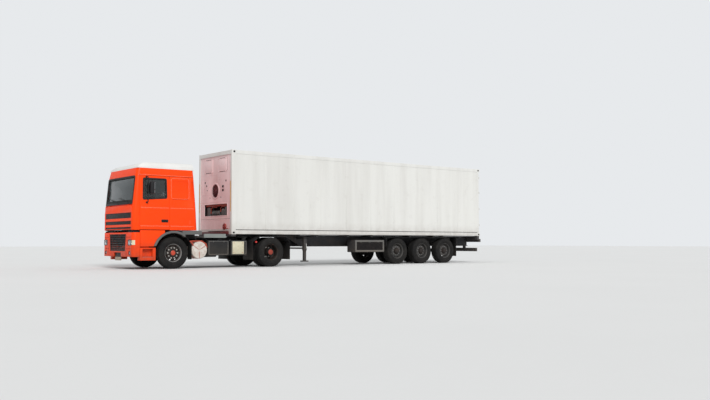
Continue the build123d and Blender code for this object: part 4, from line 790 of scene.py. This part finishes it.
# Headlamps and fog lamps: a shell, bright bowls, an amber light, clear covers, a corner glass and rims
bumper_face = facing_x(0)
lamp_y = (0.873, 1.147)
lamp_z = (0.767, 0.933)
bowl_z = 0.85
fog = (1.0, 0.52)
corner_x = 0.13
corner_y = 1.115
for side, hand in sides:
    shell = Form(at_nose, side)
    shell.block((0.040, 0.055), lamp_y, lamp_z, 0.003)
    outer = rectangle(lamp_y, lamp_z)
    inner = rounded(drawn_in(outer, 0.01), 0.014)
    shell.band(rounded(outer, 0.02), inner, facing_x(0.042), 0.0, 0.036, 0.001)
    shell.finish(f"lamp_shell_{hand}", "lamp", "chassis", replaces=("front_lamps",) if side < 0 else ())
    bowls = Form(at_nose, side)
    for y, radius in ((0.945, 0.062), (1.068, 0.052)):
        bowl = [
            (0, 0), (radius * 0.35, 0.001), (radius * 0.7, 0.010), (radius, 0.028), (radius + 0.004, 0.028),
            (radius + 0.004, 0.022), (radius * 0.72, 0.004), (0, -0.004),
        ]
        bulb = [(0, 0.004), (0.014, 0.004), (0.014, 0.018), (0.007, 0.024), (0, 0.026)]
        bowls.turned(bowl, (0.042, y, bowl_z), "-X", 36)
        bowls.turned(bulb, (0.042, y, bowl_z), "-X", 20)
    fog_bowl = [(0, 0), (0.025, 0.002), (0.048, 0.014), (0.052, 0.014), (0.052, -0.004), (0, -0.004)]
    bowls.turned(fog_bowl, (0.03, *fog), "-X", 32)
    bowls.finish(f"lamp_bowls_{hand}", "mirror_glass", "chassis", "lamp")
    form = Form(at_nose, side).block((0.016, 0.040), (1.124, 1.143), (0.782, 0.918), 0.004)
    form.finish(f"turn_lamp_{hand}", "amber", "chassis", "lamp")
    cover = Form(at_nose, side)
    cover_y = (lamp_y[0] + 0.004, lamp_y[1] - 0.004)
    cover_z = (lamp_z[0] + 0.004, lamp_z[1] - 0.004)
    cover.panel(cover_y, cover_z, facing_x(0.008), -0.004, 0.0, 0.001, 0.02)
    cover.plate(ring_points(fog, 0.055), facing_x(0.014), -0.004, 0.0, 0.001)
    cover.finish(f"lamp_cover_{hand}", "clear_cover", "chassis", "lamp")
    wrap = []
    for radius, angles in ((0.136, range(14, 71, 7)), (0.124, range(70, 13, -7))):
        for a in angles:
            wrap.append((corner_x - radius * cos(radians(a)), corner_y + radius * sin(radians(a))))
    form = Form(at_nose, side).plate(wrap, facing_up, 0.777, 0.923, 0.002)
    form.finish(f"corner_lamp_{hand}", "corner_glass", "chassis", "lamp")
    bezel = Form(at_nose, side)
    bezel.band(ring_points(fog, 0.066), ring_points(fog, 0.053), bumper_face, -0.03, 0.004, 0.002)
    bezel.border(rectangle(lamp_y, lamp_z), 0.010, 0.006, 0.018, bumper_face, -0.02, 0.004, 0.002)
    bezel.finish(f"lamp_bezel_{hand}", "rubber", "chassis", "dark_trim")

# Dark panels that close the gap over the bumper, and the cab's seal. Rows of (x, y, z)
gap = Form(at_nose)
gap.blocks([
    ((0.262, 0.276), (0.58, 1.08), (0.95, 1.242)),
    ((0.10, 0.62), (1.154, 1.168), (1.10, 1.243)),
    ((0.04, 0.10), (1.154, 1.168), (1.10, 1.218)),
    ((0.105, 0.115), (0.60, 1.16), (1.10, 1.241)),
    ((0.276, 0.62), (0.405, 0.42), (0.95, 1.242)),
    ((0.276, 0.62), (0.58, 0.595), (0.95, 1.242)),
    ((0.062, 0.262), (0.58, 1.175), (1.10, 1.112)),
    ((0.276, 0.30), about(0.11, 0.012), (0.76, 1.10)),
    ((0.276, 0.30), about(0.33, 0.012), (0.76, 1.10)),
], 0.003)
gap.doubled()
gap.block((0.262, 0.276), (-0.40, 0.40), (0.95, 1.242), 0.003)
gap.block((0.062, 0.27), (-0.40, 0.40), (1.12, 1.132), 0.003)
gap.finish("cooler_front", "dark_trim", "chassis")
form = Form(at_nose).block((0.030, 0.044), (-1.13, 1.13), (1.236, 1.275))
form.finish("cab_seal", "rubber", "cab", "dark_trim")

# The blank plate on its bracket, bumper seams and step treads
form = Form(at_nose).panel((-0.262, 0.262), (0.275, 0.388), facing_x(0.034), -0.003, 0.003, 0.001, 0.012)
form.finish("blank_plate", "plate_blank", "chassis", "cover")
bracket = Form(at_nose)
bracket.block((0.042, 0.056), about(0.2, 0.02), (0.44, 0.56), 0.003)
bracket.doubled()
bracket.block((0.037, 0.050), (-0.24, 0.24), (0.30, 0.47), 0.003)
bracket.block((0.045, 0.062), (-0.30, 0.30), (0.405, 0.575))
bracket.finish("plate_bracket", "dark_trim", "chassis")
seams = Form(at_nose)
for z in (0.655, 1.02):
    seams.panel((0.735, 1.10), about(z, 0.004), bumper_face, -0.004, 0.001)
seams.panel((0.728, 0.735), (0.42, 1.15), bumper_face, -0.004, 0.001)
seams.doubled().finish("bumper_seams", "dark_hole", "chassis", "dark_trim")
treads = Form(at_nose)
tread_y = (1.10, 1.235)
treads.block((0.34, 0.672), tread_y, (0.385, 0.392), 0.002)
for n in range(6):
    x = 0.36 + n * 0.056
    treads.block((x, x + 0.018), tread_y, (0.391, 0.397), 0.002)
treads.block((0.27, 0.58), (1.155, 1.235), (0.748, 0.756), 0.002)
treads.doubled().finish("step_treads", "walkway", "chassis")

# Silencer: a drum with rolled ends, straps, ribs on its end, and red arms
at_silencer = (nose + 2.32, 0, 0.6)
drum_near = 0.62
drum_far = 1.212
drum = [
    (0, drum_near), (0.24, drum_near), (0.268, drum_near + 0.012), (0.279, drum_near + 0.03),
    (0.283, drum_near + 0.034), (0.279, drum_near + 0.042), (0.279, drum_far - 0.042),
    (0.284, drum_far - 0.034), (0.279, drum_far - 0.026), (0.268, drum_far - 0.010),
    (0.235, drum_far - 0.004), (0.16, drum_far - 0.012), (0.10, drum_far - 0.008), (0, drum_far - 0.008),
]
form = Form(at_silencer, -1).turned(drum, count=72)
form.finish("silencer_drum", "silencer", "chassis", replaces=("silencer",))
straps = Form(at_silencer, -1)
for y in (0.74, 1.06):
    straps.turned([(0.280, y - 0.022), (0.288, y - 0.020), (0.288, y + 0.020), (0.280, y + 0.022)], count=72)
for angle in (35, 145, 270):
    a = radians(angle)
    rib = [(radius * cos(a), y, radius * sin(a)) for radius, y in ((0.27, 1.212), (0.05, 1.208))]
    straps.path(rib, 0.007, 8)
for x in (-0.15, 0.15):
    straps.block(about(x, 0.025), (0.43, 0.66), (0.08, 0.16), 0.006)
    straps.block(about(x, 0.03), (0.60, 1.08), (0.258, 0.272))
straps.path([(-0.31, 1.12, 0.30), (-0.245, 1.17, 0.22), (-0.215, 1.185, 0.14)], 0.024, 12)
straps.path([(-0.26, 1.11, 0.295), (0.12, 1.11, 0.295), (0.27, 1.13, 0.20), (0.30, 1.14, 0.08)], 0.024, 12)
straps.finish("silencer_straps", "rusty_red", "chassis", "chassis_paint")

# Side boxes: lid seams, latches and hinges, then the cover's screws
box_face = 1.18
lids = Form(at_nose, -1)
for low, high in ((2.64, 3.43), (3.50, 4.13)):
    lid = rectangle((low + 0.03, high - 0.03), (0.445, 0.90))
    lids.border(lid, 0.0, 0.018, 0.03, facing_y(box_face), -0.004, 0.006, 0.002)
    for share in (0.25, 0.75):
        x = low + share * (high - low)
        lids.block(about(x, 0.018), (box_face - 0.002, box_face + 0.018), (0.86, 0.905))
        lids.rod((x - 0.02, box_face + 0.01, 0.865), (x + 0.02, box_face + 0.01, 0.865), 0.006, 8)
lids.finish("side_box_trim", "grey_trim", "chassis")
screws = Form(side=-1)
low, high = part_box("box_cover")
screw = [(0, 0), (0.012, 0), (0.012, 0.006), (0.007, 0.009), (0, 0.009)]
for x in (low.x + 0.05, high.x - 0.05):
    for z in (low.z + 0.05, high.z - 0.05):
        screws.turned(screw, (x, -low.y, z), count=12)
screws.finish("cover_screws", "rusty_red", "chassis", "chassis_paint")

# Fuel tank: straps and cap
low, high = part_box("fuel_tank")
tank = rounded(rectangle((high.y - 0.62, high.y), (low.z, high.z)), 0.16, 8)
straps = Form()
for x in (low.x + 0.32, low.x + 0.9, high.x - 0.3):
    straps.band(drawn_in(tank, -0.004), drawn_in(tank, 0.0005), facing_x(x, 1), -0.03, 0.03, 0.001)
straps.finish("tank_straps", "rubber", "chassis", "dark_trim")
cap = [(0, 0), (0.055, 0), (0.055, 0.012), (0.048, 0.014), (0.048, 0.034), (0.040, 0.040), (0, 0.040)]
form = Form((low.x + 0.16, high.y - 0.14, high.z - 0.004)).turned(cap, axis="Z", count=32)
form.finish("tank_cap", "dark_trim", "chassis", "tank")

# Round reflectors on the front panels of the drive mudguards
reflectors = Form((drive_axle - 0.60, 0, 0.87))
reflectors.turned([(0, 1.185), (0.036, 1.185), (0.036, 1.197), (0.030, 1.202), (0, 1.203)], count=24)
reflectors.block(about(0, 0.02), (1.12, 1.187), about(0, 0.015), 0.003)
reflectors.doubled().finish("side_reflectors", "tail_lamp", "chassis", "lamp")

# Catwalk: a chequered top of small raised bars
tread = Form(at_nose)
tread_z = 1.05
for n in range(14):
    for m in range(30):
        x = 2.52 + n * 0.056
        y = -1.12 + m * 0.0772
        turn = 0.013 if (n + m) % 2 else -0.013
        tread.path([(x - 0.013, y - turn, tread_z), (x + 0.013, y + turn, tread_z)], 0.0035, 4)
tread.finish("walkway_tread", "walkway", "chassis")

# Rear halves of the front mudguards with their flaps, between the arch trim and the silencer
guard_angles = [radians(18 + 5 * n) for n in range(15)]
for side, hand in sides:
    outline = [(0.680 * cos(a), 0.680 * sin(a)) for a in guard_angles]
    outline += [(0.672 * cos(a), 0.672 * sin(a)) for a in reversed(guard_angles)]
    form = Form((front_axle, 0, wheel_radius), side).plate(outline, facing_y(0), 0.47, 1.215, 0.002)
    form.finish(f"rear_arch_{hand}", "dark_trim", "chassis")
    flap = Form((front_axle, 0, 0), side)
    flap.block((0.629, 0.639), (0.94, 1.225), (0.30, 0.80), 0.003)
    for z in (0.36, 0.44, 0.52):
        flap.block((0.638, 0.644), (0.97, 1.195), (z, z + 0.012), 0.002)
    flap.finish(f"front_flap_{hand}", "rubber", "chassis", "dark_trim")

# Supports and pipes below the walkway. Rows of (x, y, z)
under = Form(at_nose)
under.blocks([
    ((2.46, 3.34), (0.590, 0.602), (0.935, 1.032)),
    ((3.34, 4.10), (0.455, 0.467), (0.935, 1.040)),
    ((front_axle - 0.10 - nose, 2.44), (0.600, 0.612), (0.97, 1.236)),
], 0.003)
under.doubled()
for x in (2.50, 2.90, 3.28):
    under.block((x, x + 0.05), (-1.09, 1.09), (0.985, 1.024))
for y, z, radius in ((-0.20, 1.02, 0.055), (0.22, 1.03, 0.065)):
    under.rod((2.15, y, z), (2.98, y, z), radius, 24)
under.finish("walkway_supports", "dark_trim", "chassis", "chassis_paint")

# Container: panel joints with rivets, bottom seams, bezels, and dark discs as painted shade in the casting
# holes
joint_count = 10
joint_inset = 0.17
casting_x = 0.089
casting_z = 0.059
panel_face = facing_y(box_half - 0.008)
wall_face = facing_y(box_half)
for side, hand in sides:
    joints = Form(side=side)
    for n in range(1, joint_count):
        x = box_x + joint_inset + n * (box_end - box_x - 2 * joint_inset) / joint_count
        joints.panel(about(x, 0.022), (1.305, box_top - 0.133), panel_face, -0.001, 0.0022, 0.001)
        for m in range(24):
            for shift in (-0.013, 0.013):
                rivet = ring_points((x + shift, 1.36 + m * 0.105), 0.005, 6)
                joints.plate(rivet, panel_face, 0.001, 0.0042)
    joints.finish(f"panel_joints_{hand}", "container_paint", "trailer")
    form = Form(side=side).panel((box_x + 0.165, box_end - 0.165), (1.274, 1.296), wall_face, -0.003, 0.0012)
    form.finish(f"rail_seams_{hand}", "dark_trim", "trailer", "container_paint")
    bezels = Form(side=side)
    shade = Form(side=side)
    for x in (box_x + casting_x, box_end - casting_x):
        for z in (box_bottom + casting_z, box_top - casting_z):
            bezels.band(
                ring_points((x, z), 0.052, 40, 1.22), ring_points((x, z), 0.033, 40, 1.25), wall_face, -0.006,
                0.003, 0.002,
            )
            # A dark disc inside each hole: painted shade
            shade.plate(ring_points((x, z), 0.034, 24, 1.25), facing_y(box_half - 0.004), -0.004, 0.002)
            if x > 0:
                # On the rear faces, where the castings have no hole, a dark disc stands for a shaded hole:
                # painted shade
                hole = ring_points((box_half - 0.08, z), 0.036, 24, 1.1)
                shade.plate(hole, facing_x(box_end, 1), -0.003, 0.0015)
    bezels.finish(f"casting_bezels_{hand}", "container_paint", "trailer")
    shade.finish(f"casting_holes_{hand}", "dark_hole", "trailer", "container_paint")

# Refrigeration unit, on the container's front: the fan with its ring, shroud, blades and guard
unit_x = box_x + 0.025
at_unit = (unit_x, 0, box_bottom)
at_fan = (unit_x, 0, box_bottom + 1.53)
front = facing_x(0)
form = Form(at_fan).band(circle(64, 0.292), circle(64, 0.236), front, -0.05, 0.012, 0.004)
form.finish("fan_ring", "unit_paint", "trailer")
shroud = [(0, 0.115), (0.245, 0.115), (0.245, 0.012), (0.236, 0.012), (0.236, 0.108), (0, 0.108)]
form = Form(at_fan).turned(shroud, axis="X", count=64)
form.finish("fan_shroud", "fan_red", "trailer", "unit_paint")
fan = Form(at_fan)
blade_count = 9
# Stations of a blade from its root to its tip, as (radius, twist, half width), and its faces by corner
blade_stations = ((0.055, 0.95, 0.035), (0.14, 0.75, 0.062), (0.222, 0.55, 0.075))
blade_faces = (
    (0, 1, 3, 2), (2, 3, 5, 4), (6, 8, 9, 7), (8, 10, 11, 9), (0, 2, 8, 6), (2, 4, 10, 8), (1, 3, 9, 7),
    (3, 5, 11, 9), (0, 1, 7, 6), (4, 5, 11, 10),
)
for n in range(blade_count):
    a = 2 * pi * n / blade_count
    verts = []
    for depth in (0.065, 0.069):
        for radius, twist, half_width in blade_stations:
            for edge in (-half_width, half_width):
                x = depth + edge * sin(twist)
                across = edge * cos(twist)
                place = (x, radius * cos(a) - across * sin(a), radius * sin(a) + across * cos(a))
                verts.append(fan.bm.verts.new(fan.put(place)))
    for face in blade_faces:
        fan.bm.faces.new([verts[k] for k in face])
fan.turned([(0, -0.012), (0.045, -0.006), (0.058, 0.01), (0.058, 0.06), (0, 0.06)], (0.04, 0, 0), "X", 32)
fan.finish("fan_blades", "fan_red", "trailer", "unit_paint")
wires = Form(at_fan)
for radius in (0.06, 0.10, 0.14, 0.18, 0.22):
    wires.turned(rectangle(about(radius, 0.0025), (0.006, 0.011)), axis="-X", count=56)
for n in range(6):
    y = 0.25 * cos(pi * n / 6)
    z = 0.25 * sin(pi * n / 6)
    wires.rod((-0.006, -y, -z), (-0.006, y, z), 0.003, 6)
wires.finish("fan_guard", "fan_red", "trailer", "unit_paint")

# The unit's hatches and raised borders. Rows of (y, z, outside, inside, radius, near, far, soft)
panels = Form(at_unit)
hatch_z = (2.2, 2.65)
hatch = rectangle((0.195, 0.825), hatch_z)
panels.border(hatch, -0.006, 0.020, 0.03, facing_x(-0.014), -0.004, 0.003, 0.001)
for y in (0.265, 0.755):
    for z in hatch_z:
        panels.block((-0.024, -0.004), about(y, 0.03), about(z, 0.014))
panels.doubled()
bay_y = (-0.86, 0.81)
bay_z = (0.66, 1.06)
for y, z, outside, inside, radius, near, far, soft in (
    (bay_y, bay_z, 0.028, -0.002, 0.02, -0.01, 0.008, 0.003),
    ((-1.05, 1.05), (0.20, 0.52), 0.0, 0.022, 0.02, -0.002, 0.005, 0.002),
    ((-1.05, 1.05), (1.14, 2.12), 0.0, 0.016, 0.03, -0.002, 0.004, 0.002),
    ((0.42, 0.92), (1.42, 1.98), 0.0, 0.014, 0.02, -0.002, 0.006, 0.002),
):
    panels.border(rectangle(y, z), outside, inside, radius, front, near, far, soft)
panels.finish("unit_panels", "unit_paint", "trailer")

# Its dark edges and controls, dark discs as painted shade in its small round openings, and the strips on the
# container's front posts
openings = Form(at_unit)
for z in (2.188, 2.652):
    openings.panel((0.24, 0.78), (z, z + 0.012), front, -0.002, 0.006)
openings.panel((0.832, 0.838), hatch_z, front, -0.002, 0.004)
openings.doubled()
openings.panel((-1.08, 1.08), (0.537, 0.543), front, -0.002, 0.002)
for z in (1.54, 1.67):
    openings.panel(about(-0.55, 0.045), about(z, 0.04), front, -0.002, 0.012, 0.003, 0.008)
# Dark discs in the small round openings: painted shade
for y, z, radius in (
    (-0.76, 1.86, 0.034), (0.78, 1.86, 0.034), (0.66, 1.74, 0.034), (0.62, 1.58, 0.022), (-0.4, 1.30, 0.02),
    (0.4, 1.30, 0.02),
):
    openings.plate(ring_points((y, z), radius, 24), front, -0.002, 0.003)
openings.finish("unit_openings", "dark_hole", "trailer", "unit_paint")
strips = Form((box_x, 0, box_bottom))
for y in (-1.13, 1.165):
    strips.panel(about(y, 0.022), (0.78, 1.83), front, -0.002, 0.002)
strips.finish("warning_strips", "stripe_yellow", "trailer", "unit_paint")

# The machinery bay: pipes, a motor with cooling fins, ribbed boxes and a dark lining as painted shade inside
# the bay
bay = Form(at_unit)
bay.path([(0.06, -0.80, 1.01), (0.06, 0.76, 1.01)], 0.022, 12)
bay.path([(0.09, -0.78, 0.97), (0.09, -0.30, 0.97), (0.09, -0.24, 0.92), (0.09, -0.24, 0.80)], 0.014)
bay.path([(0.08, 0.46, 0.75), (0.08, 0.46, 0.92), (0.08, 0.40, 0.96), (0.08, 0.02, 0.96)], 0.014)
bay.block((0.05, 0.23), (-0.85, 0.80), (1.035, 1.056))
bay.finish("bay_pipes", "rusty_red", "trailer", "unit_paint")
motor = Form(at_unit)
motor_place = (0.17, 0, 0.755)
casing = [
    (0, -0.15), (0.092, -0.15), (0.102, -0.13), (0.102, -0.06), (0.094, -0.05), (0.094, 0.30), (0.102, 0.31),
    (0.102, 0.38), (0.090, 0.40), (0, 0.40),
]
motor.turned(casing, motor_place, count=40)
for n in range(14):
    y = -0.02 + n * 0.022
    motor.turned(rectangle((0.094, 0.106), (y, y + 0.006)), motor_place, count=40)
for low, high, top in ((-0.82, -0.55, 0.98), (-0.50, -0.32, 0.90), (0.52, 0.76, 0.97)):
    motor.block((0.075, 0.25), (low, high), (0.662, top), 0.012, 3)
    for k in range(5):
        z = 0.70 + k * (top - 0.75) / 5
        motor.block((0.069, 0.078), (low + 0.02, high - 0.02), (z, z + 0.012), 0.002)
motor.finish("bay_motor", "engine", "trailer", "unit_paint", replaces=("unit_machinery",))
# A dark back, sides and floor: painted shade inside the bay
lining = Form(at_unit)
lining_y = (bay_y[0] + 0.004, bay_y[1] - 0.004)
lining_z = (bay_z[0] + 0.004, bay_z[1] - 0.004)
lining.panel(lining_y, lining_z, facing_x(0.262), 0.0, 0.005)
for y in lining_y:
    lining.block((0.012, 0.262), about(y + (0.001 if y < 0 else -0.001), 0.003), lining_z, 0.001)
lining.block((0.012, 0.262), lining_y, (0.6605, 0.666), 0.001)
lining.finish("bay_back", "dark_hole", "trailer", "unit_paint")

# The unit's sill, dark red as painted shade along the unit's foot, and the red coupling with its spokes and
# pipe
sill = Form((box_x, 0, box_bottom))
sill.block((-0.002, 0.022), (-1.03, 1.03), (0.004, 0.095))
sill.block((-0.003, 0.020), (-1.00, -0.52), (0.098, 0.125))
sill.finish("unit_sill", "fan_red", "trailer", "container_paint")
coupling = Form((unit_x, -0.72, box_bottom + 0.27))
ring = [(0.072, 0.0), (0.105, 0.0), (0.110, 0.012), (0.100, 0.045), (0.080, 0.050), (0.072, 0.044)]
coupling.turned(ring, axis="-X", count=36)
coupling.turned([(0, 0), (0.035, 0), (0.035, 0.05), (0.026, 0.058), (0, 0.058)], axis="-X", count=24)
for a in (0.8, 2.4, 4.0, 5.5):
    start, end = [(-0.02, radius * cos(a), radius * sin(a)) for radius in (0.03, 0.08)]
    coupling.rod(start, end, 0.010, 8)
coupling.path([(-0.03, -0.08, -0.07), (-0.03, -0.18, -0.075), (-0.02, -0.24, -0.065)], 0.014, 8)
coupling.finish("red_coupling", "coupling_red", "trailer", "unit_paint")

# Rear doors: gaskets, bars with their guides, cams, handles and keepers, and pressed panels
at_doors = (box_end - 0.09, 0, 0)
door_face = facing_x(0, 1)
bar_x = 0.042
for side, hand in sides:
    body = f"container_door_{hand}"
    leaf = rectangle((0.006, 1.133), (1.307, 3.904))
    form = Form(at_doors, side).border(leaf, -0.002, 0.028, 0.02, door_face, -0.03, 0.005, 0.002)
    form.finish(f"door_gasket_{hand}", "rubber", body, "dark_trim")
    fittings = Form(at_doors, side)
    for y, inwards, grip in ((0.30, 1, 2.42), (0.82, -1, 2.30)):
        keeper_y = y + inwards * 0.30
        end_y = y + inwards * 0.40
        fittings.rod((bar_x, y, 1.302), (bar_x, y, 3.908), 0.0175, 20)
        for z in (1.36, 3.84):
            fittings.block((0, bar_x + 0.026), about(y, 0.040), about(z, 0.026), 0.008)
        for z in (1.325, 3.882):
            fittings.block((bar_x - 0.016, bar_x + 0.030), about(y, 0.022), about(z, 0.016), 0.006)
        fittings.block((bar_x - 0.010, bar_x + 0.026), about(y, 0.026), about(grip, 0.022), 0.005)
        handle = ((0.018, y, grip), (0.020, keeper_y, grip - 0.012), (0.016, end_y, grip - 0.012))
        fittings.path([(bar_x + out, along, z) for out, along, z in handle], 0.011)
        fittings.block((0, bar_x + 0.012), about(keeper_y, 0.028), (grip - 0.05, grip + 0.03), 0.006)
    fittings.finish(f"door_fittings_{hand}", "bright_steel", body, "container_paint")
    ribs = Form(at_doors, side)
    for z in ((1.40, 2.18), (2.26, 3.02), (3.10, 3.82)):
        ribs.border(rectangle((0.36, 0.76), z), 0.0, 0.014, 0.03, door_face, -0.002, 0.003, 0.001)
    ribs.finish(f"door_panels_{hand}", "container_paint", body)

# Tail lamps with three ribbed lenses and a rim on each side
at_tail = (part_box("tail_lamps")[1].x, 0, 0)
for side, hand in sides:
    for start, end, kind, look in (
        (0.79, 0.95, "red", "tail_lamp"), (0.96, 1.06, "clear", "lamp"), (1.07, 1.17, "amber", "amber")
    ):
        lens = Form(at_tail, side)
        lens.panel((start, end), (0.895, 0.975), door_face, -0.012, 0.006, 0.004, 0.012, 3)
        for n in range(5):
            z = 0.905 + n * 0.014
            lens.panel((start + 0.008, end - 0.008), (z, z + 0.005), door_face, 0.004, 0.0075)
        lens.finish(f"tail_lens_{hand}_{kind}", look, "trailer", "tail_lamp")
    lamps = rectangle((0.775, 1.185), (0.880, 0.990))
    form = Form(at_tail, side).border(lamps, 0.0, 0.012, 0.014, door_face, -0.02, 0.004, 0.002)
    form.finish(f"tail_rim_{hand}", "rubber", "trailer", "dark_trim")

# Tool box: its frame, its door within the frame and latches
low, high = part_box("tool_box")
tool_y = -low.y
tool_face = facing_y(tool_y)
tool = rectangle((low.x, high.x), (low.z, high.z))
form = Form(side=-1).border(tool, -0.012, 0.080, 0.03, tool_face, -0.004, 0.004, 0.002)
form.finish("tool_box_frame", "grey_trim", "trailer", "trailer_paint")
inset = 0.09
form = Form(side=-1).plate(drawn_in(tool, inset), tool_face, -0.004, 0.002, 0.001)
form.finish("tool_box_door", "dark_hole", "trailer", "trailer_paint")
latches = Form(side=-1)
for share in (0.2, 0.5, 0.8):
    x = low.x + share * (high.x - low.x)
    latches.block(about(x, 0.05), (tool_y - 0.032, tool_y + 0.002), about(high.z - inset, 0.02), 0.006)
latches.finish("tool_box_latches", "grey_trim", "trailer", "trailer_paint")

# The crank of the landing legs
crank = Form((middle("landing_legs").x - 0.02, 0, 0), -1)
crank.path([(0, 0.99, 0.80), (0, 1.08, 0.80), (0, 1.08, 0.62)], 0.011)
crank.rod((0, 1.075, 0.62), (0, 1.14, 0.62), 0.014, 12)
crank.finish("leg_crank", "bright_steel", "trailer", "trailer_paint")


# Seats and bunk as crowned cushions, whose sides pull in between the corners
def cushion(name, low, high, crown, lean=0.0):
    """A cushion between two corners, with seams. Crown is the share that its faces swell by."""
    form = Form()
    bm = form.bm
    bmesh.ops.create_cube(bm, size=2.0)
    bmesh.ops.subdivide_edges(bm, edges=list(bm.edges), cuts=11, use_grid_fill=True)
    size = [(high[k] - low[k]) / 2 for k in range(3)]
    centre = [(high[k] + low[k]) / 2 for k in range(3)]
    thin = size.index(min(size))
    first, second = [k for k in range(3) if k != thin]
    for vert in bm.verts:
        p = list(vert.co)
        a = p[first]
        b = p[second]
        rise = (1 - a ** 4) * (1 - b ** 4)
        seam = 0.09 if abs(abs(a) - 0.55) < 0.06 else 0.0
        p[thin] *= ((1 - crown) + crown * rise ** 0.5) * (1 - seam)
        p[first] *= 1 - 0.035 * (1 - b * b)
        p[second] *= 1 - 0.035 * (1 - a * a)
        vert.co = Vector(centre[k] + p[k] * size[k] for k in range(3))
        vert.co.x += lean * (vert.co.z - low[2])
    for _ in range(2):
        bmesh.ops.smooth_vert(
            bm, verts=list(bm.verts), factor=0.5, use_axis_x=True, use_axis_y=True, use_axis_z=True
        )
    obj = form.finish(name, "seat_cloth", "cab", sharp=80, replaces=("seats",))
    smoothing = obj.modifiers.new("subdivide", "SUBSURF")
    smoothing.levels = smoothing.render_levels = 1


seat_y = (0.435, 0.895)
bunk_x = (nose + 1.645, nose + 2.045)
bunk_half = 1.095
for side, hand in sides:
    near, far = sorted(side * y for y in seat_y)
    cushion(f"seat_cushion_{hand}", (nose + 0.935, near, 1.762), (nose + 1.445, far, 1.885), 0.35)
    cushion(f"seat_back_{hand}", (nose + 1.375, near, 1.90), (nose + 1.465, far, 2.515), 0.35, 0.155)
    cushion(f"seat_head_{hand}", (nose + 1.47, near + 0.11, 2.53), (nose + 1.545, far - 0.11, 2.675), 0.3)
bases = Form(at_nose)
bases.block((0.985, 1.395), (0.515, 0.815), (1.472, 1.755), 0.02, 3)
bases.rod((1.41, 0.42, 1.86), (1.41, 0.91, 1.86), 0.022)
bases.doubled().finish("seat_bases", "grey_trim", "cab", "seat_cloth", replaces=("seats",))
cushion("bunk_mattress", (bunk_x[0], -bunk_half, 1.80), (bunk_x[1], bunk_half, 1.945), 0.25)
form = Form().block(bunk_x, (-bunk_half, bunk_half), (1.475, 1.795), 0.012)
form.finish("bunk_base", "grey_trim", "cab", "seat_cloth")

# Camera, at the photograph's angle
camera_place = (-17.615, -25.03, 0.86)
camera_yaw = radians(37.93)
camera_pitch = radians(3.05)
camera_data = bpy.data.cameras.new("camera")
camera_data.lens = 40.18
camera_data.clip_end = 300
camera = bpy.data.objects.new("camera", camera_data)
camera.location = camera_place
look = Vector((sin(camera_yaw) * cos(camera_pitch), cos(camera_yaw) * cos(camera_pitch), sin(camera_pitch)))
camera.rotation_euler = look.to_track_quat("-Z", "Y").to_euler()
scene.collection.objects.link(camera)
scene.camera = camera

# Floor
floor_reach = 140
floor_mesh = bpy.data.meshes.new("floor")
floor_outline = rectangle((-floor_reach, floor_reach), (-floor_reach, floor_reach))
floor_mesh.from_pydata([(x, y, 0) for x, y in floor_outline], [], [(0, 1, 2, 3)])
floor_mesh.materials.append(looks["floor"])
floor = bpy.data.objects.new("floor", floor_mesh)
scene.collection.objects.link(floor)

# A pale background for the camera, glass and metal, a dimmer fill for the rest, and one soft key light
background = (0.80, 0.82, 0.84, 1)
fill_colour = (0.96, 0.98, 1.0, 1)
fill_strength = 0.62
world = bpy.data.worlds.new("studio")
scene.world = world
world.use_nodes = True
tree = world.node_tree
tree.nodes.clear()
rays = add_node(tree, "ShaderNodeLightPath", {})
seen = add_node(tree, "ShaderNodeBackground", {"Color": background})[0]
fill = add_node(tree, "ShaderNodeBackground", {"Color": fill_colour, "Strength": fill_strength})[0]
shows = rays["Is Camera Ray"]
for kind in ("Is Transmission Ray", "Is Glossy Ray"):
    shows = add_node(tree, "ShaderNodeMath", {0: shows, 1: rays[kind]}, operation="MAXIMUM")[0]
choice = add_node(tree, "ShaderNodeMixShader", {"Fac": shows, 1: fill, 2: seen})[0]
add_node(tree, "ShaderNodeOutputWorld", {"Surface": choice})

key_data = bpy.data.lights.new("key", "SUN")
key_data.energy = 2.3
key_data.angle = radians(22)
key = bpy.data.objects.new("key", key_data)
key.rotation_euler = Vector((0.26, 0.78, -0.58)).to_track_quat("-Z", "Y").to_euler()
scene.collection.objects.link(key)

scene.view_settings.view_transform = "Standard"
